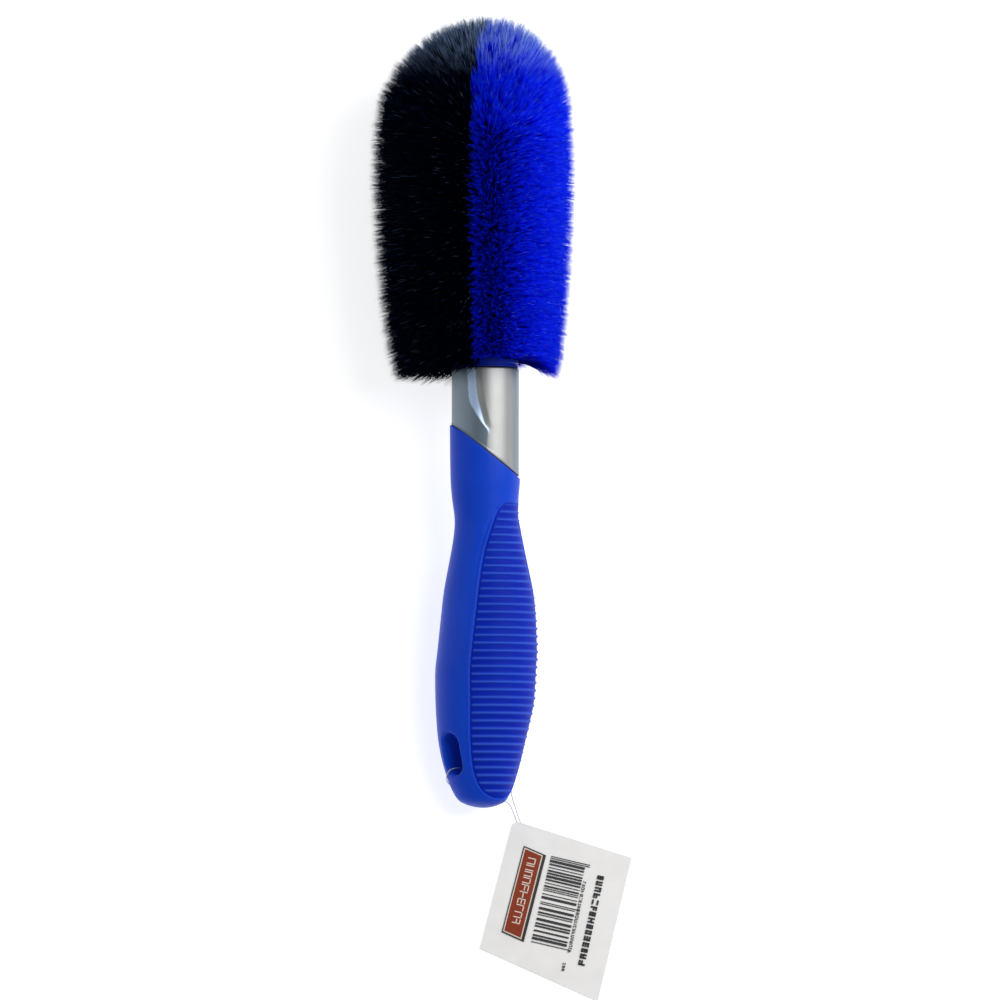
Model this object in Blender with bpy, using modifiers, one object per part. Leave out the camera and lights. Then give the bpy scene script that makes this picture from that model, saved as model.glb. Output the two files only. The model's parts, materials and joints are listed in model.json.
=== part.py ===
"""Wheel brush: a two-colour radial brush head on a silver collar and a soft ribbed grip.

The brush is drawn upright in its own frame: +Z runs from the butt of the handle to the tip of
the head, -Y is the front and +X the right side. One empty then lays it on the surface Z = 0, with
the head towards +Y. The swing label and its nylon loop are placed directly on that surface.
Metres throughout; MM turns the millimetres of the drawing into metres.
"""

from math import cos, pi, radians, sin

import bmesh
import bpy
from mathutils import Vector

MM = 0.001
GAP = 0.3 * MM                  # clearance between touching pieces
CUT_MARGIN = 3.0                # mm: how far cutters reach past what they cut

# Lying pose: the head and the belly of the grip both touch the surface
LIE_PITCH = radians(7.06)       # the axis climbs towards the head by this much
LIE_AT = Vector((4.1, -139.23, 11.64)) * MM      # where the tip of the butt comes

# Grip: half width and sideways drift of its centre line, along the axis
GRIP_HALF_WIDTH = [(0.6, 4.0), (2.6, 8.0), (6, 10.2), (9.6, 11.7), (16.7, 13.9), (24, 15.5), (31, 16.7),
                   (38, 17.6), (48, 18.0), (56, 17.8), (70, 16.7), (77, 15.8), (84, 14.4), (91, 13.0),
                   (98, 11.8), (103, 11.4), (109, 11.75), (116, 12.3), (137, 12.6)]
GRIP_DRIFT = [(0, -0.7), (6, -1.25), (16, -1.3), (24, -1.1), (31, -0.55), (38, 0.0), (49, 0.35), (56, 0.9),
              (70, 1.25), (84, 1.05), (98, 0.8), (108, 0.1), (110, 0.0), (112, 0.0)]
GRIP_DEPTH = 0.93               # depth of the grip as a part of its width
GRIP_ROUND_FROM, GRIP_ROUND_TO = 88, 108        # mm: the section grows round again up to the collar
GRIP_WALL = 3.0
GRIP_SIDES = 32
BUTT = 0.3                      # the butt's lowest point on the axis
GRIP_ROWS = [1.4, 2.6, 4.2, 6.5, 9.6, 13, 17, 22, 27, 33, 40, 48, 56, 64, 71, 78, 84, 90, 95, 99, 103,
             107, 111, 116, 123, 137]
CORE_ROWS = [7, 9.6, 13, 17, 22, 27, 33, 40, 48, 56, 64, 71, 78, 84, 90, 95, 99]
SHAFT_RADIUS = 8.6              # core inside the waist and the collar
SHAFT_FROM = 99.0
BUTT_CORE_RADIUS, BUTT_CORE_TO = 5.2, 20        # the core may be this slim near the butt
SLANT_HEIGHT = 126.2            # the grip's upper edge is a slanted plane: height on the axis
SLANT_SLOPE = -0.756            # and its rise towards +X
SLANT_BLOCK = 60                # the block that trims it
SKIRT_FROM = 110.2              # above this the grip is a thin skirt round the collar

# Hang slot through the butt
SLOT_HEIGHT = 19.2
SLOT_WIDTH = 8.0
SLOT_LENGTH = 15.0
SLOT_ANGLE = radians(-52)       # from the front, towards +X
SLOT_CUT = 60                   # length of the peg that cuts it

# Ribbed insert: the middle of its angular width and half of it, along the axis
PAD_MIDDLE = [(84, 42), (91.5, 45.1), (98.6, 51.3), (104, 58.2), (107, 61), (108.4, 62)]
PAD_HALF_ANGLE = [(4.4, 26), (6, 40), (9, 50), (14, 56), (22, 58), (55, 61.5), (74, 57), (84, 53),
                  (91.5, 49.9), (98.6, 44.7), (104, 38.9), (106.3, 33), (107.6, 24), (108.2, 10)]
PAD_BELLY = 50.0                # height where the insert faces straight out
PAD_THICK = 1.2
PAD_CLEARANCE = 0.6             # round and under the insert; more than GAP because both are faceted

# Collar
COLLAR_BOTTOM, COLLAR_TOP = 110.8, 155.5
COLLAR_RADIUS = 11.9
COLLAR_TUCKED_RADIUS = 10.2     # where the grip's skirt covers it
COLLAR_BORE = 8.9
COLLAR_CHAMFER = 0.5

# Head
SPIGOT_RADIUS, SPIGOT_BOTTOM = 6.0, 112.6
SOCKET_RADIUS, SOCKET_BOTTOM = 6.3, 112.2
SOCKET_TOP = 155.0
PIN_RADIUS, PIN_HEIGHT = 1.5, 120.0
HEAD_RADIUS = 11.6
HEAD_DOME_FROM, HEAD_TOP = 236.0, 252.0
ROOT_RADIUS = 12.0              # bristles start here
ROWS_BOTTOM = 158.6
ROWS_TOP = 238.0
ROW_ENVELOPE = [(28.7, 151.5), (31.0, 162), (33.2, 180), (34.6, 198), (35.5, 216), (35.6, 230),
                (35.3, ROWS_TOP)]
CROWN_ENVELOPE = [(35.3, 238.3), (34.7, 246), (33.2, 254), (30.6, 260.5), (27.0, 266.3), (22.0, 271.8),
                  (15.5, 276.6), (8.0, 279.3), (0.0, 280.2)]
CROWN_FOOT, CROWN_FOOT_TOP = 14.0, 253.0        # its hollow over the core's dome
ROWS_PER_COLOUR = 8
REACH = 35.6                    # longest bristle tips, from the axis
SPLIT_ANGLE = radians(-3)       # black and blue halves meet here, from the front towards +X
LEAN = -4.1                     # the bristle tips lean this far towards -X
APEX_LEAN = 1.5                 # but the highest ones lean the other way

# Swing label, on the surface: corners of its outline, from the knot's corner clockwise
LABEL_CORNERS = [(13.9, -141.9), (55.9, -155.3), (43.8, -206.3), (2.1, -187.5)]
LABEL_CLIP = 1.6                # the knot's corner is cut off by this much
LEAF_THICK = 0.35
BACK_LEAF_BOTTOM = 0.05
FRONT_LEAF_BOTTOM = [1.8, 1.3, 0.75]            # at the first three corners
KNOT_AT = Vector((17.2, -146.6, 1.05)) * MM

# Nylon loop: hand-chosen route from the knot, through the slot, round the butt and back
LOOP_DIAMETER = 0.4
LOOP_ROUTE = [(18.0, -145.9, 1.05), (16.7, -143.0, 1.05), (15.7, -140.5, 1.1), (14.7, -137.3, 1.3),
              (13.8, -134.7, 1.7), (13.3, -132.0, 2.3), (13.6, -129.2, 3.3), (14.0, -126.8, 4.6),
              (12.6, -125.2, 6.1), (8.0, -124.9, 9.2), (2.7, -125.1, 13.1), (-3.5, -125.5, 17.8),
              (-7.5, -126.2, 20.4), (-9.1, -127.4, 18.8), (-9.6, -128.7, 15.5), (-9.0, -130.0, 11.1),
              (-6.3, -131.4, 6.2), (-2.0, -132.8, 2.6), (3.6, -133.8, 1.7), (7.6, -134.5, 1.3),
              (11.0, -135.2, 1.2), (12.8, -136.5, 1.1), (13.8, -138.6, 1.1), (14.7, -141.0, 1.05),
              (15.6, -143.6, 1.05), (16.6, -145.6, 1.05)]
LOOP_POINTS = 78

BLUE = (0.012, 0.05, 0.48)
DEEP_BLUE = (0.004, 0.012, 0.42)
BLACK = (0.004, 0.006, 0.02)
SILVER = (0.52, 0.54, 0.56)
GREY = (0.12, 0.12, 0.13)
STEEL = (0.6, 0.6, 0.6)
NYLON = (0.72, 0.72, 0.72)
PAPER = (0.8, 0.78, 0.75)


# --- scene, collections and materials ---------------------------------------------------------

for old in list(bpy.data.objects):
    bpy.data.objects.remove(old, do_unlink=True)

brush = bpy.data.collections.new("wheel_brush")
cutters = bpy.data.collections.new("cutters")
for collection in (brush, cutters):
    bpy.context.scene.collection.children.link(collection)

rig = bpy.data.objects.new("lying_brush", None)
brush.objects.link(rig)
rig.location = LIE_AT
rig.rotation_euler = (LIE_PITCH - pi / 2, 0, 0)


def finish(name, colour, roughness, metallic=0.0):
    """A plain Principled material."""
    material = bpy.data.materials.new(name)
    material.use_nodes = True
    shader = material.node_tree.nodes["Principled BSDF"]
    shader.inputs["Base Color"].default_value = (*colour, 1.0)
    shader.inputs["Roughness"].default_value = roughness
    shader.inputs["Metallic"].default_value = metallic
    return material


# --- helpers ----------------------------------------------------------------------------------

def along(stations, height):
    """Smooth value at a height, through (height, value) stations."""
    if height <= stations[0][0]:
        return stations[0][1]
    if height >= stations[-1][0]:
        return stations[-1][1]
    i = max(k for k in range(len(stations) - 1) if stations[k][0] <= height)
    before, (z0, v0), (z1, v1) = stations[max(i - 1, 0)], stations[i], stations[i + 1]
    after = stations[min(i + 2, len(stations) - 1)]
    span = z1 - z0
    t = (height - z0) / span
    slope0 = (v1 - before[1]) / (z1 - before[0]) * span
    slope1 = (after[1] - v0) / (after[0] - z0) * span
    return ((2 * t**3 - 3 * t**2 + 1) * v0 + (t**3 - 2 * t**2 + t) * slope0
            + (3 * t**2 - 2 * t**3) * v1 + (t**3 - t**2) * slope1)


def smooth_step(low, high, value):
    t = min(1.0, max(0.0, (value - low) / (high - low)))
    return t * t * (3 - 2 * t)


def link(name, mesh, material, parent=rig, group=brush):
    """Put a mesh in the scene as one named piece."""
    piece = bpy.data.objects.new(name, mesh)
    group.objects.link(piece)
    piece.parent = parent
    if material:
        mesh.materials.append(material)
    if group is cutters:
        piece.hide_render = True
        piece.display_type = "WIRE"
    return piece


def evaluated(piece):
    """The piece's mesh with its modifiers applied; the piece itself is removed."""
    bpy.context.view_layer.update()
    graph = bpy.context.evaluated_depsgraph_get()
    mesh = bpy.data.meshes.new_from_object(piece.evaluated_get(graph))
    bpy.data.objects.remove(piece, do_unlink=True)
    return mesh


def turned(name, profile, sides):
    """Mesh of a closed (radius, height) profile in mm, turned about Z.

    The profile runs down its outer side. Where it does not touch the axis it is closed by itself.
    """
    mesh = bpy.data.meshes.new(name)
    points = [(r * MM, 0, z * MM) for r, z in profile]
    edges = [(i, i + 1) for i in range(len(points) - 1)]
    if profile[0][0] > 0:
        edges.append((len(points) - 1, 0))
    mesh.from_pydata(points, edges, [])
    blank = link(name, mesh, None, parent=None)
    screw = blank.modifiers.new("turn", "SCREW")
    screw.axis = "Z"
    screw.angle = 2 * pi
    screw.steps = screw.render_steps = sides
    screw.use_merge_vertices = True
    screw.merge_threshold = 0.00001
    screw.use_smooth_shade = False
    return evaluated(blank)


def wedge(name, profile, start, sweep, steps):
    """Mesh of a closed (radius, height) profile in mm, swept part of a turn about Z."""
    form = bmesh.new()
    corners = [form.verts.new((r * MM * sin(start), -r * MM * cos(start), z * MM)) for r, z in profile]
    face = form.faces.new(corners)
    bmesh.ops.spin(form, geom=[face] + list(face.edges) + corners, cent=(0, 0, 0), axis=(0, 0, 1),
                   angle=sweep, steps=steps, use_merge=False, use_duplicate=False)
    bmesh.ops.remove_doubles(form, verts=form.verts, dist=0.000005)
    bmesh.ops.recalc_face_normals(form, faces=form.faces)
    if form.calc_volume(signed=True) < 0:
        bmesh.ops.reverse_faces(form, faces=form.faces)
    mesh = bpy.data.meshes.new(name)
    form.to_mesh(mesh)
    form.free()
    return mesh


def cut(piece, cutter):
    boolean = piece.modifiers.new(cutter.name, "BOOLEAN")
    boolean.operation = "DIFFERENCE"
    boolean.solver = "EXACT"
    boolean.object = cutter


def smooth(mesh, angle=35):
    mesh.shade_smooth()
    mesh.set_sharp_from_angle(angle=radians(angle))


# --- the grip's form --------------------------------------------------------------------------

def grip_depth(height):
    """Depth of the section as a part of its width."""
    return GRIP_DEPTH + (1 - GRIP_DEPTH) * smooth_step(GRIP_ROUND_FROM, GRIP_ROUND_TO, height)


def grip_form(mesh):
    """Give a turned blank the grip's oval section and drifting centre line."""
    for vertex in mesh.vertices:
        height = vertex.co.z / MM
        vertex.co.x += along(GRIP_DRIFT, height) * MM
        vertex.co.y *= grip_depth(height)
    return mesh


def grip_point(height, angle):
    """Point on the grip's surface at a height in mm and an angle from the front towards +X."""
    radius = along(GRIP_HALF_WIDTH, height)
    return Vector((radius * sin(angle) + along(GRIP_DRIFT, height),
                   -radius * cos(angle) * grip_depth(height), height)) * MM


def bore_radius(height):
    """Radius of the hollow in the grip."""
    inside = along(GRIP_HALF_WIDTH, height) - GRIP_WALL
    shaft = BUTT_CORE_RADIUS if height < BUTT_CORE_TO else SHAFT_RADIUS
    return (SHAFT_RADIUS if height >= SHAFT_FROM else max(inside - GAP / MM, shaft)) + GAP / MM


def make_slot_cutter():
    """A long stadium-shaped peg with a flat on its butt end, where a hook bears."""
    half = SLOT_WIDTH / 2
    straight = SLOT_LENGTH / 2 - half
    outline = []
    for end in (1, -1):
        for step in range(10):
            turn = radians(-81 + 18 * step)
            outline.append((half * sin(turn) * end, (straight + half * cos(turn)) * end))
    form = bmesh.new()
    ring = [form.verts.new((x * MM, -SLOT_CUT / 2 * MM, z * MM)) for x, z in outline]
    face = form.faces.new(ring)
    grown = bmesh.ops.extrude_face_region(form, geom=[face])["geom"]
    moved = [item for item in grown if isinstance(item, bmesh.types.BMVert)]
    bmesh.ops.translate(form, verts=moved, vec=(0, SLOT_CUT * MM, 0))
    bmesh.ops.recalc_face_normals(form, faces=form.faces)
    mesh = bpy.data.meshes.new("slot_cutter")
    form.to_mesh(mesh)
    form.free()
    cutter = link("slot_cutter", mesh, None, group=cutters)
    cutter.location = (along(GRIP_DRIFT, SLOT_HEIGHT) * MM, 0, SLOT_HEIGHT * MM)
    cutter.rotation_euler = (0, 0, SLOT_ANGLE)
    return cutter


def make_slant_cutter():
    """A block whose underside is the slanted plane that trims the grip."""
    form = bmesh.new()
    half = SLANT_BLOCK / 2 * MM
    bmesh.ops.create_cube(form, size=2 * half)
    for vertex in form.verts:
        if vertex.co.z < 0:
            vertex.co.z += SLANT_SLOPE * vertex.co.x
        vertex.co.z += half + SLANT_HEIGHT * MM
    mesh = bpy.data.meshes.new("slant_cutter")
    form.to_mesh(mesh)
    form.free()
    return link("slant_cutter", mesh, None, group=cutters)


def pad_patch(name, grow, depth, rise, group, material):
    """The insert's footprint on the grip, from depth under the surface to rise above it, in mm."""
    columns, rows = 8, 30
    form = bmesh.new()
    bmesh.ops.create_grid(form, x_segments=columns, y_segments=rows, size=1)
    low, high = PAD_HALF_ANGLE[0][0] - grow, PAD_HALF_ANGLE[-1][0] + grow
    for vertex in form.verts:
        share = 0.5 - 0.5 * cos(pi * (vertex.co.y + 1) / 2)
        height = low + (high - low) * share
        half = radians(along(PAD_HALF_ANGLE, height)) + grow / along(GRIP_HALF_WIDTH, height)
        vertex.co = grip_point(height, radians(along(PAD_MIDDLE, height)) + vertex.co.x * half)
    bmesh.ops.recalc_face_normals(form, faces=form.faces)
    face = min(form.faces, key=lambda f: abs(f.calc_center_median().z - PAD_BELLY * MM))
    if face.normal.dot(grip_point(PAD_BELLY, radians(along(PAD_MIDDLE, PAD_BELLY))).xy.to_3d()) < 0:
        bmesh.ops.reverse_faces(form, faces=form.faces)
    mesh = bpy.data.meshes.new(name)
    form.to_mesh(mesh)
    form.free()
    patch = link(name, mesh, material, group=group)
    wall = patch.modifiers.new("thickness", "SOLIDIFY")
    wall.thickness = (depth + rise) * MM
    wall.offset = 2 * rise / (depth + rise) - 1
    return patch


# --- handle -----------------------------------------------------------------------------------

def make_grip(material, slot, slant):
    """The soft grip: a thick skin, closed at the butt, with its hollow open at the top."""
    skirt_bore = COLLAR_TUCKED_RADIUS + GAP / MM
    hollow = [(0, CORE_ROWS[0] - 1)] + [(bore_radius(z), z) for z in CORE_ROWS]
    hollow += [(bore_radius(z), z) for z in (103, 107, SKIRT_FROM)]
    hollow += [(skirt_bore, SKIRT_FROM), (skirt_bore, GRIP_ROWS[-1])]
    skin = [(along(GRIP_HALF_WIDTH, z), z) for z in reversed(GRIP_ROWS)] + [(0, BUTT)]
    mesh = turned("grip_sleeve", hollow + skin, GRIP_SIDES)
    smooth(grip_form(mesh))
    grip = link("grip_sleeve", mesh, material)
    cut(grip, slant)
    cut(grip, slot)
    cut(grip, pad_patch("pad_recess", PAD_CLEARANCE, PAD_THICK + PAD_CLEARANCE, CUT_MARGIN, cutters, None))


def make_handle_core(material, slot, pin_hole):
    """The stiff core: it fills the grip and ends in the socket for the head."""
    skin = [(SHAFT_RADIUS, z) for z in (SOCKET_TOP, SKIRT_FROM, 107, 103, SHAFT_FROM)]
    skin += [(bore_radius(z) - GAP / MM, z) for z in reversed(CORE_ROWS[:-1])]
    skin[-1] = (skin[-1][0], CORE_ROWS[0])
    socket = [(0, SOCKET_BOTTOM), (SOCKET_RADIUS, SOCKET_BOTTOM), (SOCKET_RADIUS, SOCKET_TOP)]
    mesh = turned("handle_core", socket + skin + [(0, CORE_ROWS[0] - 1 + GAP / MM)], 24)
    smooth(grip_form(mesh))
    core = link("handle_core", mesh, material)
    cut(core, slot)
    cut(core, pin_hole)


def make_collar(material):
    """The silver collar, stepped where the grip's skirt covers it."""
    tube = [(COLLAR_BORE, COLLAR_BOTTOM), (COLLAR_BORE, COLLAR_TOP), (COLLAR_RADIUS - COLLAR_CHAMFER, COLLAR_TOP),
            (COLLAR_RADIUS, COLLAR_TOP - COLLAR_CHAMFER), (COLLAR_RADIUS, COLLAR_BOTTOM)]
    mesh = turned("collar", tube, 40)
    smooth(mesh)
    collar = link("collar", mesh, material)
    low, wide = COLLAR_BOTTOM - CUT_MARGIN, COLLAR_RADIUS + CUT_MARGIN
    ring = [(COLLAR_TUCKED_RADIUS, low), (COLLAR_TUCKED_RADIUS, SLANT_HEIGHT), (wide, SLANT_HEIGHT),
            (wide, low)]
    step = turned("skirt_cutter", ring, 40)
    for vertex in step.vertices:
        if vertex.co.z > (SLANT_HEIGHT - 1) * MM:
            vertex.co.z += SLANT_SLOPE * vertex.co.x + GAP
    cut(collar, link("skirt_cutter", step, None, group=cutters))


def make_head_core(material, pin_hole):
    """The tuft block, with the spigot that the handle's socket holds."""
    shoulder = COLLAR_TOP + GAP / MM
    dome = []
    for step in range(7):
        turn = radians(90 - 15 * step)
        dome.append((HEAD_RADIUS * cos(turn), HEAD_DOME_FROM + (HEAD_TOP - HEAD_DOME_FROM) * sin(turn)))
    dome[0] = (0, HEAD_TOP)
    stem = [(HEAD_RADIUS, shoulder), (SPIGOT_RADIUS, shoulder), (SPIGOT_RADIUS, SPIGOT_BOTTOM),
            (0, SPIGOT_BOTTOM)]
    mesh = turned("head_core", dome + stem, 32)
    smooth(mesh)
    cut(link("head_core", mesh, material), pin_hole)


def make_pin(name, radius, length, group, material):
    """A cross pin through socket and spigot, or the hole for it."""
    mesh = bpy.data.meshes.new(name)
    form = bmesh.new()
    bmesh.ops.create_cone(form, cap_ends=True, segments=16, radius1=radius * MM, radius2=radius * MM,
                          depth=length * MM)
    form.to_mesh(mesh)
    form.free()
    smooth(mesh)
    pin = link(name, mesh, material, group=group)
    pin.location = (0, 0, PIN_HEIGHT * MM)
    pin.rotation_euler = (radians(90), 0, 0)
    return pin


# --- bristles ---------------------------------------------------------------------------------

def settled(mesh, leaning, away):
    """Shift each point sideways by leaning(radius, height) mm, then the piece off its neighbours."""
    for vertex in mesh.vertices:
        vertex.co.x += leaning(vertex.co.xy.length / MM, vertex.co.z / MM) * MM
        vertex.co.xy += away
    smooth(mesh)
    return mesh


def make_rows(materials):
    """Sixteen bristle rows round the core, blue on the right half and black on the left."""
    profile = [(ROOT_RADIUS, ROWS_BOTTOM)] + ROW_ENVELOPE + [(ROOT_RADIUS, ROWS_TOP)]
    sweep = pi / ROWS_PER_COLOUR

    def leaning(radius, height):
        return LEAN * (radius - ROOT_RADIUS) / (REACH - ROOT_RADIUS)

    for number in range(2 * ROWS_PER_COLOUR):
        colour = "blue" if number < ROWS_PER_COLOUR else "black"
        name = f"bristle_{colour}_{number % ROWS_PER_COLOUR + 1}"
        start = SPLIT_ANGLE + number * sweep
        middle = start + sweep / 2
        away = Vector((sin(middle), -cos(middle))) * (GAP / 2 / sin(sweep / 2))
        link(name, settled(wedge(name, profile, start, sweep, 2), leaning, away), materials[colour])


def make_crown(materials):
    """The tufts on the rounded end, as a blue and a black half dome."""
    foot = []
    for step in range(5):
        turn = radians(90 - 22.5 * step)
        foot.append((CROWN_FOOT * cos(turn),
                     HEAD_DOME_FROM + (CROWN_FOOT_TOP - HEAD_DOME_FROM) * sin(turn)))
    foot[0] = (0, foot[0][1])
    foot[-1] = (CROWN_FOOT, CROWN_ENVELOPE[0][1])
    profile = CROWN_ENVELOPE + foot
    bottom, top = profile[0][1], CROWN_ENVELOPE[-1][1]

    def leaning(radius, height):
        return LEAN * radius / REACH + APEX_LEAN * (height - bottom) / (top - bottom)

    for colour, start in (("blue", SPLIT_ANGLE), ("black", SPLIT_ANGLE + pi)):
        middle = start + pi / 2
        away = Vector((sin(middle), -cos(middle))) * GAP / 2
        name = f"crown_{colour}"
        link(name, settled(wedge(name, profile, start, pi, 16), leaning, away), materials[colour])


# --- label and loop, on the surface -------------------------------------------------------------

def label_outline():
    """Corners of the label in mm, with the knot's corner clipped."""
    knot_corner, right, far, left = [Vector(corner) for corner in LABEL_CORNERS]
    first = knot_corner + (left - knot_corner).normalized() * LABEL_CLIP
    second = knot_corner + (right - knot_corner).normalized() * LABEL_CLIP
    return [first, second, right, far, left]


def make_leaf(name, material, height_at):
    """One flat leaf of the label, its underside at height_at(x, y), in mm."""
    form = bmesh.new()
    ring = [form.verts.new((p.x * MM, p.y * MM, height_at(p) * MM)) for p in label_outline()]
    face = form.faces.new(ring)
    grown = bmesh.ops.extrude_face_region(form, geom=[face])["geom"]
    top = [item for item in grown if isinstance(item, bmesh.types.BMVert)]
    bmesh.ops.translate(form, verts=top, vec=(0, 0, LEAF_THICK * MM))
    bmesh.ops.recalc_face_normals(form, faces=form.faces)
    mesh = bpy.data.meshes.new(name)
    form.to_mesh(mesh)
    form.free()
    link(name, mesh, material, parent=None)


def front_leaf_height(point):
    """Plane through the front leaf's underside at its first three corners."""
    a, b, c = [Vector((*corner, height)) for corner, height in zip(LABEL_CORNERS, FRONT_LEAF_BOTTOM)]
    normal = (b - a).cross(c - a)
    return a.z - (normal.x * (point.x - a.x) + normal.y * (point.y - a.y)) / normal.z


def make_knot(material):
    """A flat knot that keeps the loop between the label's two leaves."""
    form = bmesh.new()
    bmesh.ops.create_uvsphere(form, u_segments=12, v_segments=8, radius=1.0 * MM)
    bmesh.ops.scale(form, verts=form.verts, vec=(0.55, 0.55, 0.25))
    bmesh.ops.translate(form, verts=form.verts, vec=KNOT_AT)
    mesh = bpy.data.meshes.new("loop_knot")
    form.to_mesh(mesh)
    form.free()
    smooth(mesh)
    link("loop_knot", mesh, material, parent=None)


def smooth_route(route, count):
    """Evenly spaced points on a smooth curve through a route's points."""
    fine = []
    for i in range(len(route) - 1):
        before = route[max(i - 1, 0)]
        start, end = route[i], route[i + 1]
        after = route[min(i + 2, len(route) - 1)]
        for step in range(20):
            t = step / 20
            fine.append(0.5 * ((2 * start) + (end - before) * t
                               + (2 * before - 5 * start + 4 * end - after) * t**2
                               + (3 * start - before - 3 * end + after) * t**3))
    fine.append(route[-1])
    lengths = [0.0]
    for a, b in zip(fine, fine[1:]):
        lengths.append(lengths[-1] + (b - a).length)
    points, k = [], 0
    for i in range(count):
        goal = lengths[-1] * i / (count - 1)
        while k < len(fine) - 2 and lengths[k + 1] < goal:
            k += 1
        share = (goal - lengths[k]) / (lengths[k + 1] - lengths[k])
        points.append(fine[k].lerp(fine[k + 1], min(1.0, share)))
    return points, lengths[-1]


def make_loop(material):
    route = [Vector(point) * MM for point in LOOP_ROUTE]
    points, length = smooth_route(route, LOOP_POINTS)
    curve = bpy.data.curves.new("tag_loop", "CURVE")
    curve.dimensions = "3D"
    curve.bevel_depth = LOOP_DIAMETER / 2 * MM
    curve.bevel_resolution = 2
    curve.use_fill_caps = True
    spline = curve.splines.new("POLY")
    spline.points.add(len(points) - 1)
    for place, point in zip(spline.points, points):
        place.co = (*point, 1.0)
    loop = bpy.data.objects.new("tag_loop", curve)
    curve.materials.append(material)
    brush.objects.link(loop)
    print("loop length", round(length, 4), "m")


# --- the brush --------------------------------------------------------------------------------

bristles = {"black": finish("black_bristle", BLACK, 0.5), "blue": finish("blue_bristle", DEEP_BLUE, 0.5)}
rubber = finish("blue_grip", BLUE, 0.5)
clear = finish("nylon", NYLON, 0.3)
paper = finish("label_paper", PAPER, 0.7)

slot_cutter = make_slot_cutter()
slant_cutter = make_slant_cutter()
pin_hole_cutter = make_pin("pin_hole_cutter", PIN_RADIUS + GAP / MM, 40, cutters, None)

make_grip(rubber, slot_cutter, slant_cutter)
pad_patch("rib_pad", 0, PAD_THICK, 0, brush, finish("rib_rubber", BLUE, 0.6))
make_handle_core(finish("core_plastic", GREY, 0.5), slot_cutter, pin_hole_cutter)
make_collar(finish("silver", SILVER, 0.3, 0.6))
make_head_core(finish("head_plastic", BLUE, 0.4), pin_hole_cutter)
make_pin("lock_pin", PIN_RADIUS, 2 * (COLLAR_BORE - 0.6), brush, finish("pin_steel", STEEL, 0.3, 1.0))
make_rows(bristles)
make_crown(bristles)
make_leaf("tag_front", paper, front_leaf_height)
make_leaf("tag_back", paper, lambda point: BACK_LEAF_BOTTOM)
make_knot(clear)
make_loop(clear)
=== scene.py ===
# %% [markdown]
# # A wheel brush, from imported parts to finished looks
# This lesson dresses a hand-held wheel brush: a domed head of fine bristles, half black and half
# blue, a silver collar, a soft ribbed grip with a slanted hang slot, and a paper label on a nylon
# loop. The sizes are settled already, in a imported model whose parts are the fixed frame.

import json
from math import asin, atan2, cos, degrees, exp, floor, pi, radians, sin, sqrt

import bmesh
import bpy
import numpy as np
from mathutils import Matrix, Vector


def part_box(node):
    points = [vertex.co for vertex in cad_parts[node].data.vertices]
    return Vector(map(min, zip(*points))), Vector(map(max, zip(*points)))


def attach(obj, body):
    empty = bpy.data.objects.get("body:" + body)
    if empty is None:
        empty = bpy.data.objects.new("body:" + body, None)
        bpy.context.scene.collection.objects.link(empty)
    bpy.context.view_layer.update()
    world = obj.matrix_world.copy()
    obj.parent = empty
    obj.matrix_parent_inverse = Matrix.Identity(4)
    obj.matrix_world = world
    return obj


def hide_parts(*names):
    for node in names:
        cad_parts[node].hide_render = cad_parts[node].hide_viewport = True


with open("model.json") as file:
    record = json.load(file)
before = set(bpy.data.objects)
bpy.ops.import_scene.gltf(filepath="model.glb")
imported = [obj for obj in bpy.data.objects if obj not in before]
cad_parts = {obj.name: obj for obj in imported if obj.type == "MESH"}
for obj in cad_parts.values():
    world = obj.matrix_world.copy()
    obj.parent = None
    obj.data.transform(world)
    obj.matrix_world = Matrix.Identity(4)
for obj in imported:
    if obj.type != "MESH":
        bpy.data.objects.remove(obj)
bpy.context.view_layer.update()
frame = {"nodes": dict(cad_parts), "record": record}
scene = bpy.context.scene

# %% [markdown]
# The brush lies on its side, so its axis climbs a little towards the head. It is easier to model it
# upright, in millimetres, with Z along the axis, -Y to the front and X to the right, and to lay
# each finished mesh down with one matrix. The record's hang seat gives the direction of the axis,
# and the lock pin, which sits at a known height on it, gives the place.

# %% The matrix that lays an upright mesh down
MM = 0.001
PIN_HEIGHT = 120
seat = frame["record"]["mounts"][0]
turn = Matrix.Rotation(asin(seat["axis"][2]) - pi / 2, 4, "X")
pin_low, pin_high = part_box("lock_pin")
butt_tip = (pin_low + pin_high) / 2 - turn @ Vector((0, 0, PIN_HEIGHT * MM))
LAID = Matrix.Translation(butt_tip) @ turn @ Matrix.Scale(MM, 4)
ON_SURFACE = Matrix.Scale(MM, 4)
print("butt tip, mm:", [round(v / MM, 2) for v in butt_tip])

# %% [markdown]
# Camera and light come first, because every finish is judged under them. The camera looks steeply
# down at the lying brush with a long lens, so that the head is not swollen by perspective.

# %% Camera
DISTANCE, STEEPNESS = 2.6, radians(80)
SEEN_WIDTH = 0.3535
AIM = Vector((0.0093, -0.0310, 0.025))
back = Vector((0, -cos(STEEPNESS), sin(STEEPNESS)))
lens = bpy.data.cameras.new("camera")
lens.sensor_width = 36
lens.lens = lens.sensor_width * DISTANCE / SEEN_WIDTH
camera = bpy.data.objects.new("camera", lens)
camera.location = AIM + back * DISTANCE
camera.rotation_euler = (-back).to_track_quat("-Z", "Y").to_euler()
scene.collection.objects.link(camera)
scene.camera = camera
print("lens, mm:", round(lens.lens, 1))

# %% [markdown]
# The light is a studio tent: a dim cool sky, one wide soft box overhead, a little to the right and
# towards the head, and a weak strip on the left. On a cylinder a soft box draws one broad bright
# band, which is what makes satin plastic look like satin plastic. The floor is matt white paper
# with a small glow of its own, so it stays white where the dim sky alone would leave it grey.

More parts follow.
